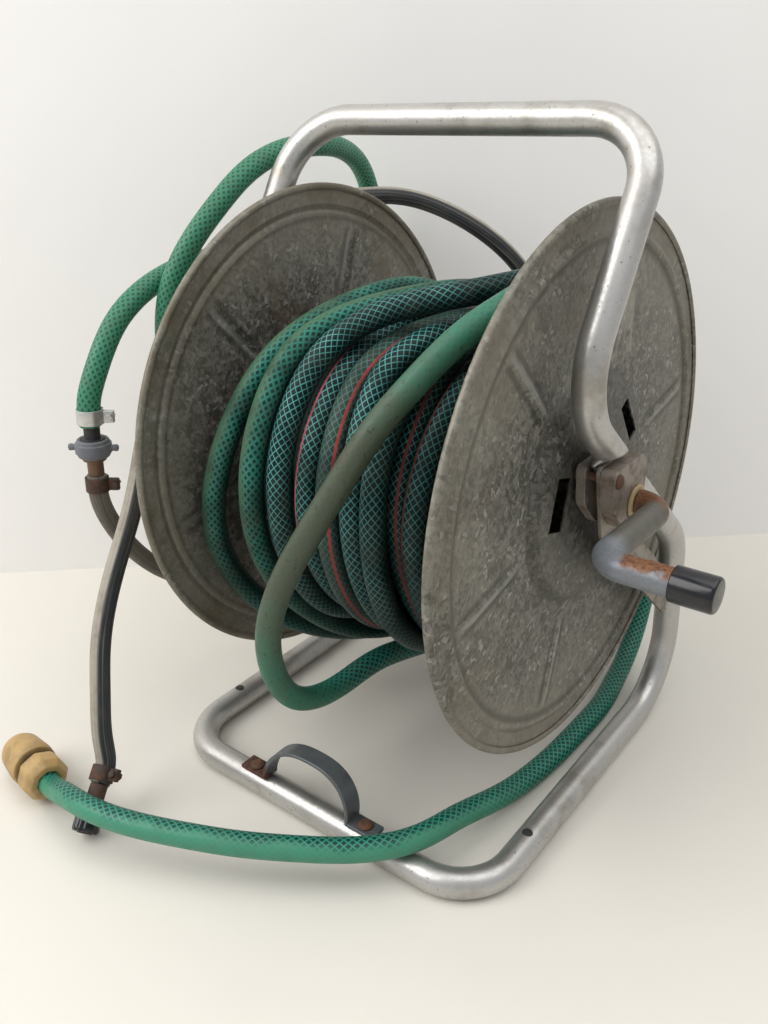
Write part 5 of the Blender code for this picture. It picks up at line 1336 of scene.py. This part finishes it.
def makeConnector():
    c = connector
    base = np.array(routes["outletHose"][-1], float) - connectorLine * c["overlap"]
    bore, clear, grip, nutEnd, hole = c["bore"], c["bore"] + 0.3, c["radius"], c["nut"], c["hoseHole"]
    start, gapEnd = c["overlap"] + 2.9, nutEnd + c["gap"]
    sleeveEnd = gapEnd + c["sleeve"]
    nut = [
        (nutEnd, clear), (nutEnd, grip - 1), (nutEnd - 5, grip), (6, grip), (0, grip - 4), (0, hole),
        (c["overlap"] - 0.3, hole), (c["overlap"] + 2, clear),
    ]
    ring = [(nutEnd + 2.2, clear), (nutEnd + 2.2, grip - 3), (nutEnd + 0.3, grip - 3), (nutEnd + 0.3, clear)]
    body = [(sleeveEnd - 3, bore - 5), (sleeveEnd - 3, bore), (start, bore), (start, bore - 5)]
    sleeve = [
        (sleeveEnd, clear), (sleeveEnd, grip - 5), (sleeveEnd - 6, grip - 2), (gapEnd + 8, grip),
        (gapEnd, grip - 0.5), (gapEnd, clear),
    ]
    eight = flats(8, 0.985 * 0.955)
    soft = lambda angle: np.minimum(1, eight(angle))
    for name, node, outline, material, carrier, shape in (
        ("connectorNut", "connector_nut", nut, "tanPlastic", "stand", (96, 1.2, soft)),
        ("connectorRing", "connector_ring", ring, "blackPlastic", "stand", (64, 0.5)),
        ("connectorBody", "connector_body", body, "dullBlackPlastic", "stand", (48, 0.6)),
        ("connectorSleeve", "connector_sleeve", sleeve, "tanPlastic", "connector_collar", (96, 1.4)),
    ):
        put(revolve(name, outline, base, connectorLine, material, *shape), carrier, node)


makeUnion()
makeTapEnd()
makeJoiner()
makeConnector()
easedCasting("inlet_swivel", 1.0)
print("fittings ready")


# Floor, wall and light

room = {"reach": 3000, "wallLeft": (-2854, -2059), "wallRight": (2441, 2519), "wallHeight": 2500}


def stageSheet(name, points, material):
    mesh = bpy.data.meshes.new(name)
    mesh.from_pydata(toFrame(points).tolist(), [], [(0, 1, 2, 3)])
    mesh.materials.append(materials[material])
    addObject(name, mesh)


def makeRoom():
    reach, left, right, height = room.values()
    stageSheet("floor", [(-reach, -reach, 0), (reach, -reach, 0), (reach, reach, 0), (-reach, reach, 0)], "paleFloor")
    stageSheet("wall", [(*left, 0), (*right, 0), (*right, height), (*left, height)], "paleWall")


lamps = {
    "window": {"place": (-900, -1500, 1700), "size": 1.6, "power": 33, "color": (1, 0.985, 0.96)},
    "ceiling": {"place": (500, 300, 2100), "size": 2.2, "power": 27, "color": (1, 0.99, 0.975)},
}
light = {"target": (0, 0, 250), "sky": (0.9, 0.92, 0.95, 1), "skyPower": 0.6}


def makeLight():
    for name, lamp in lamps.items():
        data = bpy.data.lights.new(name, "AREA")
        data.shape = "SQUARE"
        data.size = lamp["size"]
        data.energy = lamp["power"]
        data.color = lamp["color"]
        ahead = unit(np.array(light["target"]) - lamp["place"])
        right = unit(np.cross(ahead, up))
        aim(addObject(name, data), right, np.cross(right, ahead), lamp["place"])
    world = bpy.data.worlds.new("softRoom")
    bpy.context.scene.world = world
    world.use_nodes = True
    background = world.node_tree.nodes["Background"]
    background.inputs[0].default_value = light["sky"]
    background.inputs[1].default_value = light["skyPower"]
    bpy.context.scene.view_settings.view_transform = "Standard"


makeRoom()
makeLight()
print("scene ready")
